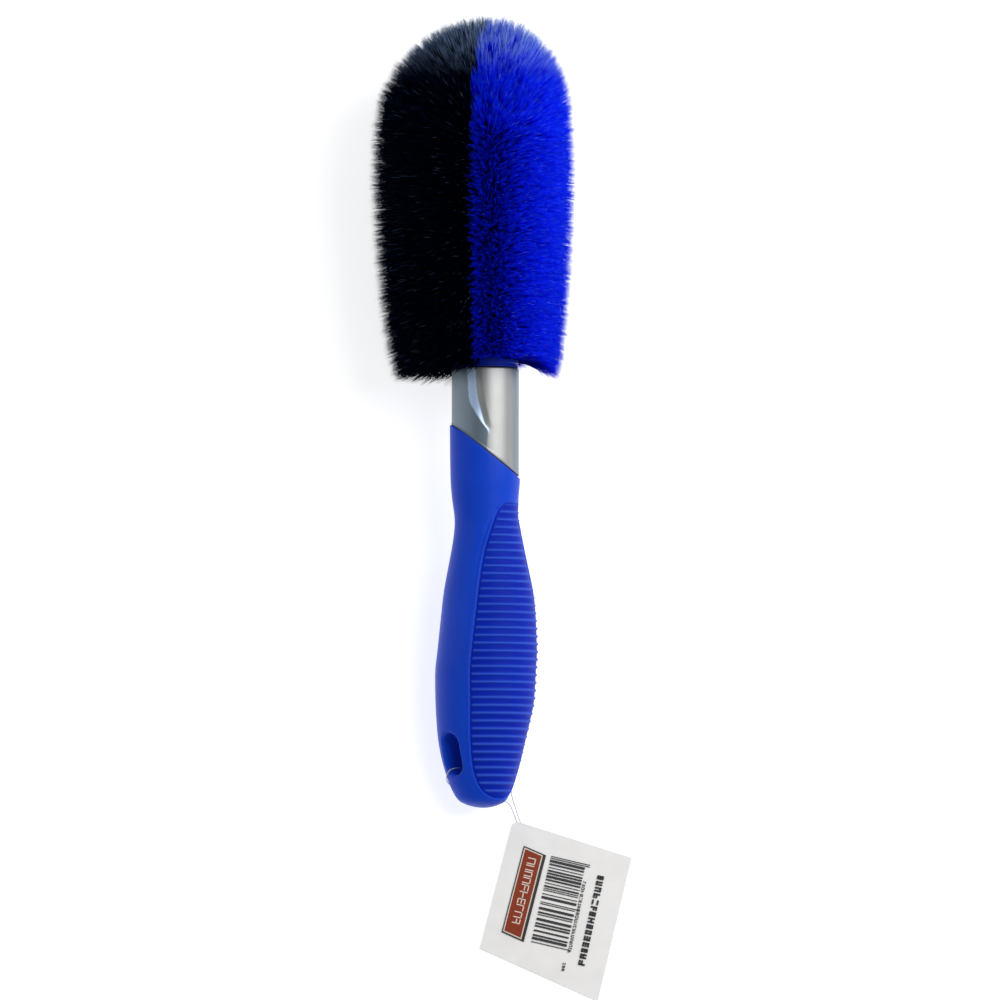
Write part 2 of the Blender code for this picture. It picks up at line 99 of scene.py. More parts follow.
# %% Lights and floor
scene.view_settings.view_transform = "Standard"
sky = bpy.data.worlds.new("sky")
sky.use_nodes = True
backdrop = sky.node_tree.nodes["Background"]
backdrop.inputs["Color"].default_value = (0.86, 0.93, 1.0, 1)
backdrop.inputs["Strength"].default_value = 0.35
scene.world = sky


def soft_box(name, place, aim, width, height, power):
    lamp = bpy.data.lights.new(name, "AREA")
    lamp.shape = "RECTANGLE"
    lamp.size, lamp.size_y, lamp.energy = width, height, power
    box = bpy.data.objects.new(name, lamp)
    box.location = place
    box.rotation_euler = (Vector(place) - Vector(aim)).to_track_quat("Z", "Y").to_euler()
    box.visible_camera = False
    scene.collection.objects.link(box)


LIT_POINT = (0, 0, 0.03)
FLOOR_HALF = 6
PAPER_LOOK = {"Base Color": (0.7, 0.7, 0.7, 1), "Roughness": 0.9, "Specular IOR Level": 0.1,
              "Emission Color": (1, 1, 1, 1), "Emission Strength": 0.72}
soft_box("key", (0.88, 0.25, 1.05), LIT_POINT, 0.65, 1.4, 17)
soft_box("left_strip", (-0.95, 0.1, 0.45), LIT_POINT, 0.15, 0.9, 1)

floor_mesh = bpy.data.meshes.new("floor")
floor_form = bmesh.new()
bmesh.ops.create_grid(floor_form, x_segments=1, y_segments=1, size=FLOOR_HALF)
floor_form.to_mesh(floor_mesh)
floor_form.free()
paper_floor = bpy.data.materials.new("floor")
paper_floor.use_nodes = True
for socket, value in PAPER_LOOK.items():
    paper_floor.node_tree.nodes["Principled BSDF"].inputs[socket].default_value = value
floor_mesh.materials.append(paper_floor)
floor_piece = bpy.data.objects.new("floor", floor_mesh)
scene.collection.objects.link(floor_piece)
print("lights and floor in place")

# %% [markdown]
# Every finish is a small net of nodes, and three kinds of node come up again and again: Map Range,
# a Mix of two colours, and Math. One helper each adds such a node, and takes a plain value or
# another node's output for every input, so the finishes below read like sums.

# %% Helpers for nodes
def feed(tree, socket, source):
    """Wire a node's output to an input, or set the input to a plain value."""
    if isinstance(source, bpy.types.NodeSocket):
        tree.links.new(source, socket)
    else:
        socket.default_value = source


def ranged(tree, value, **ends):
    """The result of a Map Range node, its ends named as its sockets are."""
    node = tree.nodes.new("ShaderNodeMapRange")
    feed(tree, node.inputs["Value"], value)
    for end, source in ends.items():
        feed(tree, node.inputs[end.replace("_", " ")], source)
    return node.outputs["Result"]


def mixed(tree, share, first, second, blend="MIX"):
    """The result of a Mix node for two colours."""
    node = tree.nodes.new("ShaderNodeMix")
    node.data_type = "RGBA"
    node.blend_type = blend
    for socket, source in (("Factor", share), ("A", first), ("B", second)):
        feed(tree, node.inputs[socket], source)
    return node.outputs["Result"]


def reckoned(tree, operation, first, second):
    """The result of a Math node."""
    node = tree.nodes.new("ShaderNodeMath")
    node.operation = operation
    feed(tree, node.inputs[0], first)
    feed(tree, node.inputs[1], second)
    return node.outputs["Value"]


def new_finish(name):
    """A material with nodes, its tree and its shader."""
    material = bpy.data.materials.new(name)
    material.use_nodes = True
    return material, material.node_tree, material.node_tree.nodes["Principled BSDF"]


# %% [markdown]
# Moulded plastic, rubber and paper share one effect: a fine uneven grain, with a faint broader
# mottling under it. It is built once as a node group with named sockets. Each finish then mixes its
# own colours with the group's masks, and feeds the group's height to a Bump node.

# %% The shared grain group
NOISE_FROM, NOISE_TO = 0.3, 0.7
SPECK_REACH = 0.12


def make_grain():
    group = bpy.data.node_groups.new("grain", "ShaderNodeTree")
    sockets = group.interface
    for name, value in (("Scale", 900.0), ("Mottle Scale", 60.0), ("Contrast", 1.0)):
        sockets.new_socket(name=name, in_out="INPUT", socket_type="NodeSocketFloat").default_value = value
    for name in ("Height", "Mottle", "Speck"):
        sockets.new_socket(name=name, in_out="OUTPUT", socket_type="NodeSocketFloat")
    nodes, wires = group.nodes, group.links
    source, sink = nodes.new("NodeGroupInput"), nodes.new("NodeGroupOutput")
    place = nodes.new("ShaderNodeTexCoord")
    for socket, output, detail in (("Scale", "Height", 3.0), ("Mottle Scale", "Mottle", 4.0)):
        noise = nodes.new("ShaderNodeTexNoise")
        noise.inputs["Detail"].default_value = detail
        wires.new(place.outputs["Object"], noise.inputs["Vector"])
        wires.new(source.outputs[socket], noise.inputs["Scale"])
        spread = ranged(group, noise.outputs["Fac"], From_Min=NOISE_FROM, From_Max=NOISE_TO,
                        To_Max=source.outputs["Contrast"])
        wires.new(spread, sink.inputs[output])
    cells = nodes.new("ShaderNodeTexVoronoi")
    wires.new(place.outputs["Object"], cells.inputs["Vector"])
    wires.new(source.outputs["Scale"], cells.inputs["Scale"])
    near = ranged(group, cells.outputs["Distance"], From_Max=SPECK_REACH, To_Min=1.0, To_Max=0.0)
    wires.new(near, sink.inputs["Speck"])
    return group


GRAIN = make_grain()
print("grain group:", [item.name for item in GRAIN.interface.items_tree])


# %% A finish made of two close colours and the grain
LOW_ROUGHNESS, HIGH_ROUGHNESS = 0.92, 1.08


def two_tone(name, dark, light, roughness, grain=900.0, mottle=60.0, bump=0.05, depth=0.0001, **fixed):
    """A Principled material between two colours; fixed values go straight on its own sockets."""
    material, tree, shader = new_finish(name)
    effect = tree.nodes.new("ShaderNodeGroup")
    effect.node_tree = GRAIN
    effect.inputs["Scale"].default_value = grain
    effect.inputs["Mottle Scale"].default_value = mottle
    feed(tree, shader.inputs["Base Color"], mixed(tree, effect.outputs["Mottle"], (*dark, 1), (*light, 1)))
    gloss = ranged(tree, effect.outputs["Height"], To_Min=roughness * LOW_ROUGHNESS,
                   To_Max=roughness * HIGH_ROUGHNESS)
    feed(tree, shader.inputs["Roughness"], gloss)
    relief = tree.nodes.new("ShaderNodeBump")
    relief.inputs["Strength"].default_value = bump
    relief.inputs["Distance"].default_value = depth
    feed(tree, relief.inputs["Height"], effect.outputs["Height"])
    feed(tree, shader.inputs["Normal"], relief.outputs["Normal"])
    for socket, value in fixed.items():
        shader.inputs[socket.replace("_", " ")].default_value = value
    return material


# %% The plain finishes
grip_blue = two_tone("grip_blue", (0.005, 0.050, 0.52), (0.006, 0.057, 0.57), 0.38,
                     Specular_IOR_Level=0.09)
silver = two_tone("silver", (0.30, 0.305, 0.30), (0.34, 0.34, 0.33), 0.42, grain=2400.0, bump=0.08,
                  Metallic=0.7)
head_blue = two_tone("head_blue", (0.001, 0.022, 0.38), (0.002, 0.028, 0.44), 0.45,
                     Specular_IOR_Level=0.15)
core_grey = two_tone("core_grey", (0.02, 0.02, 0.022), (0.03, 0.03, 0.033), 0.5)
pin_steel = two_tone("pin_steel", (0.55, 0.55, 0.55), (0.62, 0.62, 0.62), 0.28, Metallic=1.0)
nylon = two_tone("nylon", (0.50, 0.51, 0.53), (0.58, 0.59, 0.61), 0.2, bump=0.02,
                 Transmission_Weight=0.7, IOR=1.53)
paper = two_tone("paper", (0.88, 0.845, 0.80), (0.94, 0.905, 0.86), 0.62, grain=2600.0, mottle=130.0,
                 bump=0.12, depth=0.00003)
panel_ink = two_tone("panel_ink", (0.23, 0.028, 0.005), (0.28, 0.036, 0.008), 0.5, bump=0.02,
                     Specular_IOR_Level=0.25)
dark_ink = two_tone("dark_ink", (0.012, 0.011, 0.012), (0.022, 0.020, 0.022), 0.5, bump=0.02)
pale_ink = two_tone("pale_ink", (0.72, 0.60, 0.50), (0.78, 0.66, 0.56), 0.5, bump=0.02)
print("finishes:", len(bpy.data.materials))

# %% [markdown]
# The loop that holds the label is a soft part with a fixed length, so it is settled before anything
# is built around it. It is a thin nylon line that leaves the knot, goes up through the hang slot,
# comes down the left side, and runs back under the butt to the same knot. A curve through a few
# given points, resampled evenly, gives one smooth line of that length.

# %% The nylon loop
LOOP_DIAMETER, LOOP_LENGTH = 0.4, 96.2
LOOP_POINTS = 78
LOOP_ROUTE = [(18.0, -145.9, 1.05), (16.7, -143.0, 1.05), (15.7, -140.5, 1.1), (14.7, -137.3, 1.3),
              (13.8, -134.7, 1.7), (13.3, -132.0, 2.3), (13.6, -129.2, 3.3), (14.0, -126.8, 4.6),
              (12.6, -125.2, 6.1), (8.0, -124.9, 9.2), (2.7, -125.1, 13.1), (-3.5, -125.5, 17.8),
              (-7.5, -126.2, 20.4), (-9.1, -127.4, 18.8), (-9.6, -128.7, 15.5), (-9.0, -130.0, 11.1),
              (-6.3, -131.4, 6.2), (-2.0, -132.8, 2.6), (3.6, -133.8, 1.7), (7.6, -134.5, 1.3),
              (11.0, -135.2, 1.2), (12.8, -136.5, 1.1), (13.8, -138.6, 1.1), (14.7, -141.0, 1.05),
              (15.6, -143.6, 1.05), (16.6, -145.6, 1.05)]
STEPS_BETWEEN = 20


def smooth_route(route, count):
    """Evenly spaced points on a smooth curve through a route's points."""
    fine = []
    for i in range(len(route) - 1):
        before, start = route[max(i - 1, 0)], route[i]
        end, after = route[i + 1], route[min(i + 2, len(route) - 1)]
        for step in range(STEPS_BETWEEN):
            t = step / STEPS_BETWEEN
            fine.append(0.5 * ((2 * start) + (end - before) * t
                               + (2 * before - 5 * start + 4 * end - after) * t**2
                               + (3 * start - before - 3 * end + after) * t**3))
    fine.append(route[-1])
    lengths = [0.0]
    for a, b in zip(fine, fine[1:]):
        lengths.append(lengths[-1] + (b - a).length)
    points, k = [], 0
    for i in range(count):
        goal = lengths[-1] * i / (count - 1)
        while k < len(fine) - 2 and lengths[k + 1] < goal:
            k += 1
        share = (goal - lengths[k]) / (lengths[k + 1] - lengths[k])
        points.append(fine[k].lerp(fine[k + 1], min(1.0, share)))
    return points


line = bpy.data.curves.new("loop_line", "CURVE")
line.dimensions = "3D"
line.bevel_depth = LOOP_DIAMETER / 2 * MM
line.bevel_resolution = 3
line.use_fill_caps = True
spline = line.splines.new("POLY")
loop_points = smooth_route([Vector(point) * MM for point in LOOP_ROUTE], LOOP_POINTS)
spline.points.add(len(loop_points) - 1)
for place, point in zip(spline.points, loop_points):
    place.co = (*point, 1.0)
line.materials.append(nylon)
loop = bpy.data.objects.new("loop_line", line)
scene.collection.objects.link(loop)
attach(loop, "brush")
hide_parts("tag_loop")
print("loop points:", len(loop_points))


# %% [markdown]
# Most of the moulded pieces are skins wrapped round the axis. A grid with one column per angle and
# one row per height is the simplest start: each vertex of the grid is sent to its place, the two
# side edges then meet and are merged, and so are the poles. The result is an even mesh whose edge
# loops follow the form, which takes smooth shading well.

# %% Helpers for wrapped grids
MERGE_GAP = 0.0005


def grid_cell(vertex, columns, rows):
    """The column and the row of a fresh grid that a vertex is in."""
    return round((vertex.co.x + 1) / 2 * columns), round((vertex.co.y + 1) / 2 * rows)


def wrapped(columns, rows, place):
    """A grid in mm with place(column, row) for each vertex; edges that meet are merged."""
    sheet = bmesh.new()
    bmesh.ops.create_grid(sheet, x_segments=columns, y_segments=rows, size=1)
    for vertex in sheet.verts:
        vertex.co = place(*grid_cell(vertex, columns, rows))
    bmesh.ops.remove_doubles(sheet, verts=sheet.verts, dist=MERGE_GAP)
    bmesh.ops.recalc_face_normals(sheet, faces=sheet.faces)
    return sheet


def add_piece(name, mesh, body, material, sharp=None):
    """Put a mesh in the scene as one finished piece that rides on a body."""
    mesh.name = name
    mesh.shade_smooth()
    if sharp:
        mesh.set_sharp_from_angle(angle=radians(sharp))
    mesh.materials.clear()
    mesh.materials.append(material)
    piece = bpy.data.objects.new(name, mesh)
    scene.collection.objects.link(piece)
    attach(piece, body)
    print(name, "faces:", len(mesh.polygons))
    return piece


def laid_mesh(name, sheet, matrix=LAID):
    """The bmesh as a mesh in its final place."""
    bmesh.ops.transform(sheet, matrix=matrix, verts=sheet.verts)
    mesh = bpy.data.meshes.new(name)
    sheet.to_mesh(mesh)
    sheet.free()
    return mesh


def points_of(geometry):
    """Only the vertices of some geometry that an operator gave back."""
    return [item for item in geometry if isinstance(item, bmesh.types.BMVert)]


def whole(sheet):
    """All vertices, edges and faces, as the cutting operators want them."""
    return sheet.verts[:] + sheet.edges[:] + sheet.faces[:]


def smooth_step(low, high, value):
    """0 below low, 1 above high, and a smooth climb between."""
    t = min(1.0, max(0.0, (value - low) / (high - low)))
    return t * t * (3 - 2 * t)


def along(stations, height):
    """Smooth value at a height, through (height, value) stations."""
    if height <= stations[0][0]:
        return stations[0][1]
    if height >= stations[-1][0]:
        return stations[-1][1]
    i = max(k for k in range(len(stations) - 1) if stations[k][0] <= height)
    before, (z0, v0), (z1, v1) = stations[max(i - 1, 0)], stations[i], stations[i + 1]
    after = stations[min(i + 2, len(stations) - 1)]
    span = z1 - z0
    t = (height - z0) / span
    slope0 = (v1 - before[1]) / (z1 - before[0]) * span
    slope1 = (after[1] - v0) / (after[0] - z0) * span
    return ((2 * t**3 - 3 * t**2 + 1) * v0 + (t**3 - 2 * t**2 + t) * slope0
            + (3 * t**2 - 2 * t**3) * v1 + (t**3 - t**2) * slope1)


# %% [markdown]
# The grip is an over-moulded skin of soft rubber. It swells where the palm sits, tucks in at the
# waist, and ends in a slanted lip that overlaps the collar. Its half width and the drift of its
# centre line are given at a few heights along the axis, with smooth values between them.

# %% The form of the grip
GRIP_HALF_WIDTH = [(0.6, 4.0), (2.6, 8.0), (6, 10.2), (9.6, 11.7), (16.7, 13.9), (24, 15.5), (31, 16.7),
                   (38, 17.6), (48, 18.0), (56, 17.8), (70, 16.7), (77, 15.8), (84, 14.4), (91, 13.0),
                   (98, 11.8), (103, 11.4), (109, 11.75), (116, 12.3), (137, 12.6)]
GRIP_DRIFT = [(0, -0.7), (6, -1.25), (16, -1.3), (24, -1.1), (31, -0.55), (38, 0.0), (49, 0.35), (56, 0.9),
              (70, 1.25), (84, 1.05), (98, 0.8), (108, 0.1), (110, 0.0), (112, 0.0)]
GRIP_DEPTH = 0.93
ROUND_FROM, ROUND_TO = 88, 108
BUTT, BUTT_DOME = 0.3, 1.4
SLANT_HEIGHT, SLANT_SLOPE = 126.2, -0.756
SLANT_FROM, SLANT_TO = 88, 123


def grip_depth(height):
    return GRIP_DEPTH + (1 - GRIP_DEPTH) * smooth_step(ROUND_FROM, ROUND_TO, height)


def grip_radius(height):
    """Half width of the grip, with a rounded tip at the butt."""
    if height >= BUTT_DOME:
        return along(GRIP_HALF_WIDTH, height)
    return along(GRIP_HALF_WIDTH, BUTT_DOME) * sqrt(max(0.0, height - BUTT) / (BUTT_DOME - BUTT))


def grip_point(height, angle, inset=0.0):
    """Point on the grip in mm, at an angle from the front towards +X, inset under the skin."""
    radius = grip_radius(height) - inset
    return Vector((radius * sin(angle) + along(GRIP_DRIFT, height),
                   -radius * cos(angle) * grip_depth(height), height))


def slanted(height, angle):
    """A nominal height moved so that the topmost rows follow the slanted lip."""
    width = along(GRIP_HALF_WIDTH, SLANT_HEIGHT)
    return height + SLANT_SLOPE * width * sin(angle) * smooth_step(SLANT_FROM, SLANT_TO, height)


print("grip width at the palm:", 2 * grip_radius(48), "mm")

# %% [markdown]
# The ribbed insert is a separate, softer rubber, let into a shallow recess. Seen from the front the
# recess is a long leaf shape on the right, whose narrow upper end leans over past the waist. A small
# rolled edge runs round it, with a shallow groove outside, and both fade out near the upper end. The
# columns of the skin's grid are bent to run along that outline, and crowd together there, so the
# edge stays crisp without a very dense mesh.

# %% Outline of the ribbed insert
PAD_MIDDLE = [(84, 42), (91.5, 45.1), (98.6, 51.3), (104, 58.2), (107, 61), (108.4, 62)]
PAD_HALF_ANGLE = [(3.6, 10), (4.4, 26), (6, 40), (9, 50), (14, 56), (22, 58), (55, 61.5), (74, 57),
                  (84, 53), (91.5, 49.9), (98.6, 44.7), (104, 38.9), (106.3, 33), (107.6, 24),
                  (108.2, 10)]
PAD_LOW, PAD_HIGH = 3.6, 107.9
RECESS, RECESS_STEP = 0.6, (-0.25, 0.25)
EDGE_WAVES = [(0.13, 1.50, 0.45), (-0.16, 0.50, 0.30)]  # groove and roll: depth, how far outside, width
EDGE_FADE = (99, 104)
SMALLEST_RADIUS = 9.0


def pad_half(height):
    return radians(along(PAD_HALF_ANGLE, height))


def pad_middle(height):
    return radians(along(PAD_MIDDLE, height))


def pad_inside(height, angle):
    """Distance in mm inside the insert's outline; negative outside it."""
    radius = max(grip_radius(height), SMALLEST_RADIUS)
    off = (angle - pad_middle(height) + pi) % (2 * pi) - pi
    shift = pad_middle(height + 0.5) - pad_middle(height - 0.5)
    lean = (pad_half(height + 0.5) - pad_half(height - 0.5) + (shift if off > 0 else -shift)) * radius
    off = abs(off)
    side = (pad_half(height) - off) * radius / sqrt(1 + lean * lean)
    return min(side, height - PAD_LOW, PAD_HIGH - height)


def edge_inset(inside, height):
    """How deep the skin lies near the insert's outline: groove, rolled edge, recess."""
    fade = 1 - smooth_step(*EDGE_FADE, height)
    groove, roll = (depth * fade * exp(-((inside + off) / width) ** 2) for depth, off, width in EDGE_WAVES)
    return groove + roll + RECESS * smooth_step(*RECESS_STEP, inside)


# %% Columns and rows of the grip's skin
SHARES_IN = [0.0, 0.3, 0.55, 0.75, 0.9]
OFFSETS = [-0.7, -0.45, -0.3, -0.2, -0.1, 0.0, 0.1, 0.2, 0.3, 0.42, 0.55, 0.68, 0.82, 0.98, 1.15, 1.35,
           1.55, 1.75, 2.0, 2.3, 2.8]
SHARES_OUT = 56
SIDE_COLUMNS = len(SHARES_IN) + len(OFFSETS) + SHARES_OUT - 1
INNER_SHARE, COLUMN_GAP = 0.3, 0.002
LIP_ROUND, LIP_STEPS = 0.55, 5
SKIRT_BORE, SKIRT_FROM = 10.5, 110.2
GRIP_WALL, SHAFT_BORE, BUTT_BORE = 3.0, 8.9, 5.5
HOLLOW = [107, 103, 99, 90, 78, 64, 48, 33, 22, 20, 13, 7]


def skin_angle(column, height):
    """Angle of a column: shares of the insert, set distances from its edge, then shares of the rest."""
    side = column - SIDE_COLUMNS
    k = abs(side)
    half = pad_half(height)
    radius = max(grip_radius(height), SMALLEST_RADIUS)
    inner, outer = half + OFFSETS[0] / radius, half + OFFSETS[-1] / radius
    inner = max(inner, half * INNER_SHARE)
    if k < len(SHARES_IN):
        off = inner * SHARES_IN[k]
    elif k < len(SHARES_IN) + len(OFFSETS):
        ring = k - len(SHARES_IN)
        off = max(half + OFFSETS[ring] / radius, inner + COLUMN_GAP * ring)
    else:
        share = (k - len(SHARES_IN) - len(OFFSETS) + 1) / SHARES_OUT
        off = outer + (pi - outer) * share
    return pad_middle(height) + (off if side >= 0 else -off)


def spaced(start, stop, step):
    """Even heights from start up to, but without, stop."""
    count = max(1, round((stop - start) / step))
    return [start + (stop - start) * i / count for i in range(count)]


skin_rows = [BUTT, 0.33, 0.42, 0.58, 0.8, 1.1, 1.4, 1.75, 2.1] + spaced(2.4, 6.0, 0.15)
skin_rows += spaced(6.0, 102.0, 0.8) + spaced(102.0, 111.0, 0.3)
skin_rows += spaced(111.0, SLANT_HEIGHT - LIP_ROUND, 0.6)
lip_first = len(skin_rows)
hollow_first = lip_first + LIP_STEPS + 1
all_rows = hollow_first + 3 + len(HOLLOW) + 1
print("skin rows:", all_rows, "columns:", 2 * SIDE_COLUMNS)


def grip_bore(height):
    """Radius of the hollow that holds the stiff core."""
    inside = along(GRIP_HALF_WIDTH, height) - GRIP_WALL
    return max(inside, BUTT_BORE if height <= 20 else SHAFT_BORE)


def skin_point(column, row):
    """One vertex of the grip: outer skin, rolled lip, then the hollow inside."""
    if row < lip_first:
        angle = skin_angle(column, skin_rows[row])
        height = slanted(skin_rows[row], angle)
        return grip_point(height, angle, edge_inset(pad_inside(height, angle), height))
    if row < hollow_first:
        bend = (row - lip_first) / LIP_STEPS * pi / 2
        drop, inset = LIP_ROUND * (1 - sin(bend)), LIP_ROUND * (1 - cos(bend))
        angle = skin_angle(column, SLANT_HEIGHT)
        return grip_point(slanted(SLANT_HEIGHT, angle) - drop, angle, inset)
    angle = skin_angle(column, SLANT_HEIGHT)
    step = row - hollow_first
    if step == 0:
        return Vector((SKIRT_BORE * sin(angle), -SKIRT_BORE * cos(angle),
                       SLANT_HEIGHT + SLANT_SLOPE * SKIRT_BORE * sin(angle)))
    if step < 3:
        radius, height = (SKIRT_BORE, SHAFT_BORE)[step - 1], SKIRT_FROM
    elif step < 3 + len(HOLLOW):
        height = HOLLOW[step - 3]
        radius = SHAFT_BORE if height >= 99 else grip_bore(height)
    else:
        radius, height = 0.0, HOLLOW[-1] - 1
    return Vector((radius * sin(angle) + along(GRIP_DRIFT, height),
                   -radius * cos(angle) * grip_depth(height), height))


# %% [markdown]
# The hang slot is cut through the skin with a Boolean, from a long rounded peg. A Boolean leaves a
# knife edge, and the real moulding has a soft one. So the cut is made a millimetre too wide, and a
# liner closes it: a ring that starts level with the skin, rolls over in a quarter round, runs
# through the handle as the slot's wall, and rolls out again on the far side.

# %% The grip skin with its slot
SLOT_HEIGHT, SLOT_WIDTH, SLOT_LENGTH = 19.2, 8.0, 15.0
SLOT_ANGLE = radians(-52)
SLOT_DRIFT = along(GRIP_DRIFT, SLOT_HEIGHT)
LINER_OUT, LINER_IN = 1.05, -0.12
PEG_LENGTH, PEG_SIDES, PEG_SPARE = 60, 48, 0.06
straight = (SLOT_LENGTH - SLOT_WIDTH) / 2


def slot_rim(turn_angle, grow):
    """Point (across, along the axis) of the slot's outline, grown by some mm."""
    radius = SLOT_WIDTH / 2 + grow
    across, up = radius * sin(turn_angle), radius * cos(turn_angle)
    return across, up + (straight if up > 0 else -straight)


def cut_slot(mesh):
    """Cut the grown slot out of a mesh, and return the result."""
    peg = bmesh.new()
    bmesh.ops.create_circle(peg, cap_ends=True, segments=PEG_SIDES,
                            radius=SLOT_WIDTH / 2 + LINER_OUT - PEG_SPARE,
                            matrix=Matrix.Rotation(radians(180 / PEG_SIDES), 4, "Z"))
    for vertex in peg.verts:
        vertex.co.y += straight if vertex.co.y > 0 else -straight
    grown = bmesh.ops.extrude_face_region(peg, geom=peg.faces[:])["geom"]
    bmesh.ops.translate(peg, verts=points_of(grown), vec=(0, 0, PEG_LENGTH))
    bmesh.ops.translate(peg, verts=peg.verts, vec=(0, 0, -PEG_LENGTH / 2))
    bmesh.ops.rotate(peg, verts=peg.verts, matrix=Matrix.Rotation(pi / 2, 3, "X"))
    bmesh.ops.rotate(peg, verts=peg.verts, matrix=Matrix.Rotation(SLOT_ANGLE, 3, "Z"))
    bmesh.ops.translate(peg, verts=peg.verts, vec=(SLOT_DRIFT, 0, SLOT_HEIGHT))
    bmesh.ops.recalc_face_normals(peg, faces=peg.faces)
    pair = [bpy.data.objects.new("skin", mesh), bpy.data.objects.new("peg", laid_mesh("peg", peg))]
    for item in pair:
        scene.collection.objects.link(item)
    boolean = pair[0].modifiers.new("slot", "BOOLEAN")
    boolean.operation, boolean.solver, boolean.object = "DIFFERENCE", "EXACT", pair[1]
    bpy.context.view_layer.update()
    graph = bpy.context.evaluated_depsgraph_get()
    result = bpy.data.meshes.new_from_object(pair[0].evaluated_get(graph))
    for item in pair:
        bpy.data.objects.remove(item, do_unlink=True)
    return result


skin = laid_mesh("skin", wrapped(2 * SIDE_COLUMNS, all_rows - 1, skin_point))
grip = add_piece("grip_skin", cut_slot(skin), "brush", grip_blue, sharp=50)
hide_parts("grip_sleeve")

# %% The slot's liner
LINER_STEPS, LINER_SIDES, LINER_SUNK = 6, 96, 0.02


def skin_along_slot(across, up, side):
    """How far the skin lies from the slot's middle, going out on one side of the handle."""
    height = SLOT_HEIGHT + up
    wide = grip_radius(height)
    deep = wide * grip_depth(height)
    ray_x, ray_y = sin(SLOT_ANGLE) * side, -cos(SLOT_ANGLE) * side
    from_x = cos(SLOT_ANGLE) * across + SLOT_DRIFT - along(GRIP_DRIFT, height)
    from_y = sin(SLOT_ANGLE) * across
    a = (ray_x / wide) ** 2 + (ray_y / deep) ** 2
    b = from_x * ray_x / wide**2 + from_y * ray_y / deep**2
    c = (from_x / wide) ** 2 + (from_y / deep) ** 2 - 1
    return (-b + sqrt(b * b - a * c)) / a


def liner_point(column, row):
    """Rows run from the front rim through the slot to the back rim, and back inside the wall."""
    angle = 2 * pi * column / LINER_SIDES
    half_rows = LINER_STEPS + 1
    row = row % (2 * half_rows)
    side = 1 if row < half_rows else -1
    step = row if side == 1 else 2 * half_rows - 1 - row
    bend = step / LINER_STEPS * pi / 2
    radius = LINER_OUT - LINER_IN
    across, up = slot_rim(angle, LINER_IN + radius * (1 - sin(bend)))
    reach = skin_along_slot(across, up, side) - radius * (1 - cos(bend)) - LINER_SUNK
    across_x, across_y = cos(SLOT_ANGLE) * across, sin(SLOT_ANGLE) * across
    return Vector((SLOT_DRIFT + across_x + sin(SLOT_ANGLE) * side * reach,
                   across_y - cos(SLOT_ANGLE) * side * reach, SLOT_HEIGHT + up))


liner_form = wrapped(LINER_SIDES, 2 * (LINER_STEPS + 1), liner_point)
liner = add_piece("slot_liner", laid_mesh("slot_liner", liner_form), "brush", grip_blue,
                  sharp=60)
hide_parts("grip_sleeve")

# %% [markdown]
# The insert's ribs run straight across. Each is a narrow rounded ridge with a flat valley beside it,
# so a light from the head's end draws one bright line per rib. The insert is a grid of its own over
# the recess. Its edges dip, and the ribs die out just before them. A colour attribute keeps how high
# each point stands, and paints the ridges a paler blue as a highlight, the valleys darker as shade.

# %% The ribbed insert
RIB_PITCH, RIB_FIRST = 2.73, 6.2
RIB_HALF, RIB_HEIGHT = 0.42, 0.55
PAD_COLUMNS, ROWS_PER_RIB = 56, 14
VALLEY_INSET, EDGE_INSET = 0.42, 0.62
RIB_FADE, DIP = (0.1, 1.3), (0.0, 0.55)
PAD_START, PAD_SHORTER, PAD_GAP, NARROWEST = 0.05, 0.3, 0.12, 0.01
SKIRT_DEPTH = 0.6
pad_rows = round((PAD_HIGH - PAD_LOW) / RIB_PITCH * ROWS_PER_RIB)


def rib(height):
    """0 in the valley and 1 on the ridge."""
    phase = (height - RIB_FIRST) / RIB_PITCH
    off = (phase - floor(phase + 0.5)) * RIB_PITCH
    return exp(-(off / RIB_HALF) ** 2)


def pad_place(column, row):
    """Height and angle of one point of the insert."""
    height = PAD_LOW + PAD_START + (PAD_HIGH - PAD_LOW - PAD_SHORTER) * row / pad_rows
    share = sin(pi / 2 * (2 * column / PAD_COLUMNS - 1))
    radius = max(grip_radius(height), SMALLEST_RADIUS)
    half = max(pad_half(height) - PAD_GAP / radius, NARROWEST)
    return height, pad_middle(height) + share * half


def pad_point(column, row):
    """One point of the insert's face, and how high its rib stands there, from 0 to 1."""
    height, angle = pad_place(column, row)
    inside = pad_inside(height, angle)
    strength = smooth_step(*RIB_FADE, inside)
    sunk = EDGE_INSET - (EDGE_INSET - VALLEY_INSET) * smooth_step(*DIP, inside)
    return grip_point(height, angle, sunk - RIB_HEIGHT * strength * rib(height)), rib(height) * strength


pad_form = bmesh.new()
bmesh.ops.create_grid(pad_form, x_segments=PAD_COLUMNS, y_segments=pad_rows, size=1)
heights = pad_form.verts.layers.float_color.new("ridge_highlight")
for vertex in pad_form.verts:
    vertex.co, level = pad_point(*grid_cell(vertex, PAD_COLUMNS, pad_rows))
    vertex[heights] = (level, level, level, 1)
rim = [edge for edge in pad_form.edges if edge.is_boundary]
for vertex in points_of(bmesh.ops.extrude_edge_only(pad_form, edges=rim)["geom"]):
    middle = Vector((along(GRIP_DRIFT, vertex.co.z), 0, vertex.co.z))
    vertex.co += (middle - vertex.co).normalized() * SKIRT_DEPTH
bmesh.ops.holes_fill(pad_form, edges=[edge for edge in pad_form.edges if edge.is_boundary])
bmesh.ops.recalc_face_normals(pad_form, faces=pad_form.faces)
rib_rubber = two_tone("rib_rubber", (0.001, 0.014, 0.34), (0.0015, 0.018, 0.38), 0.5,
                      Specular_IOR_Level=0.06)


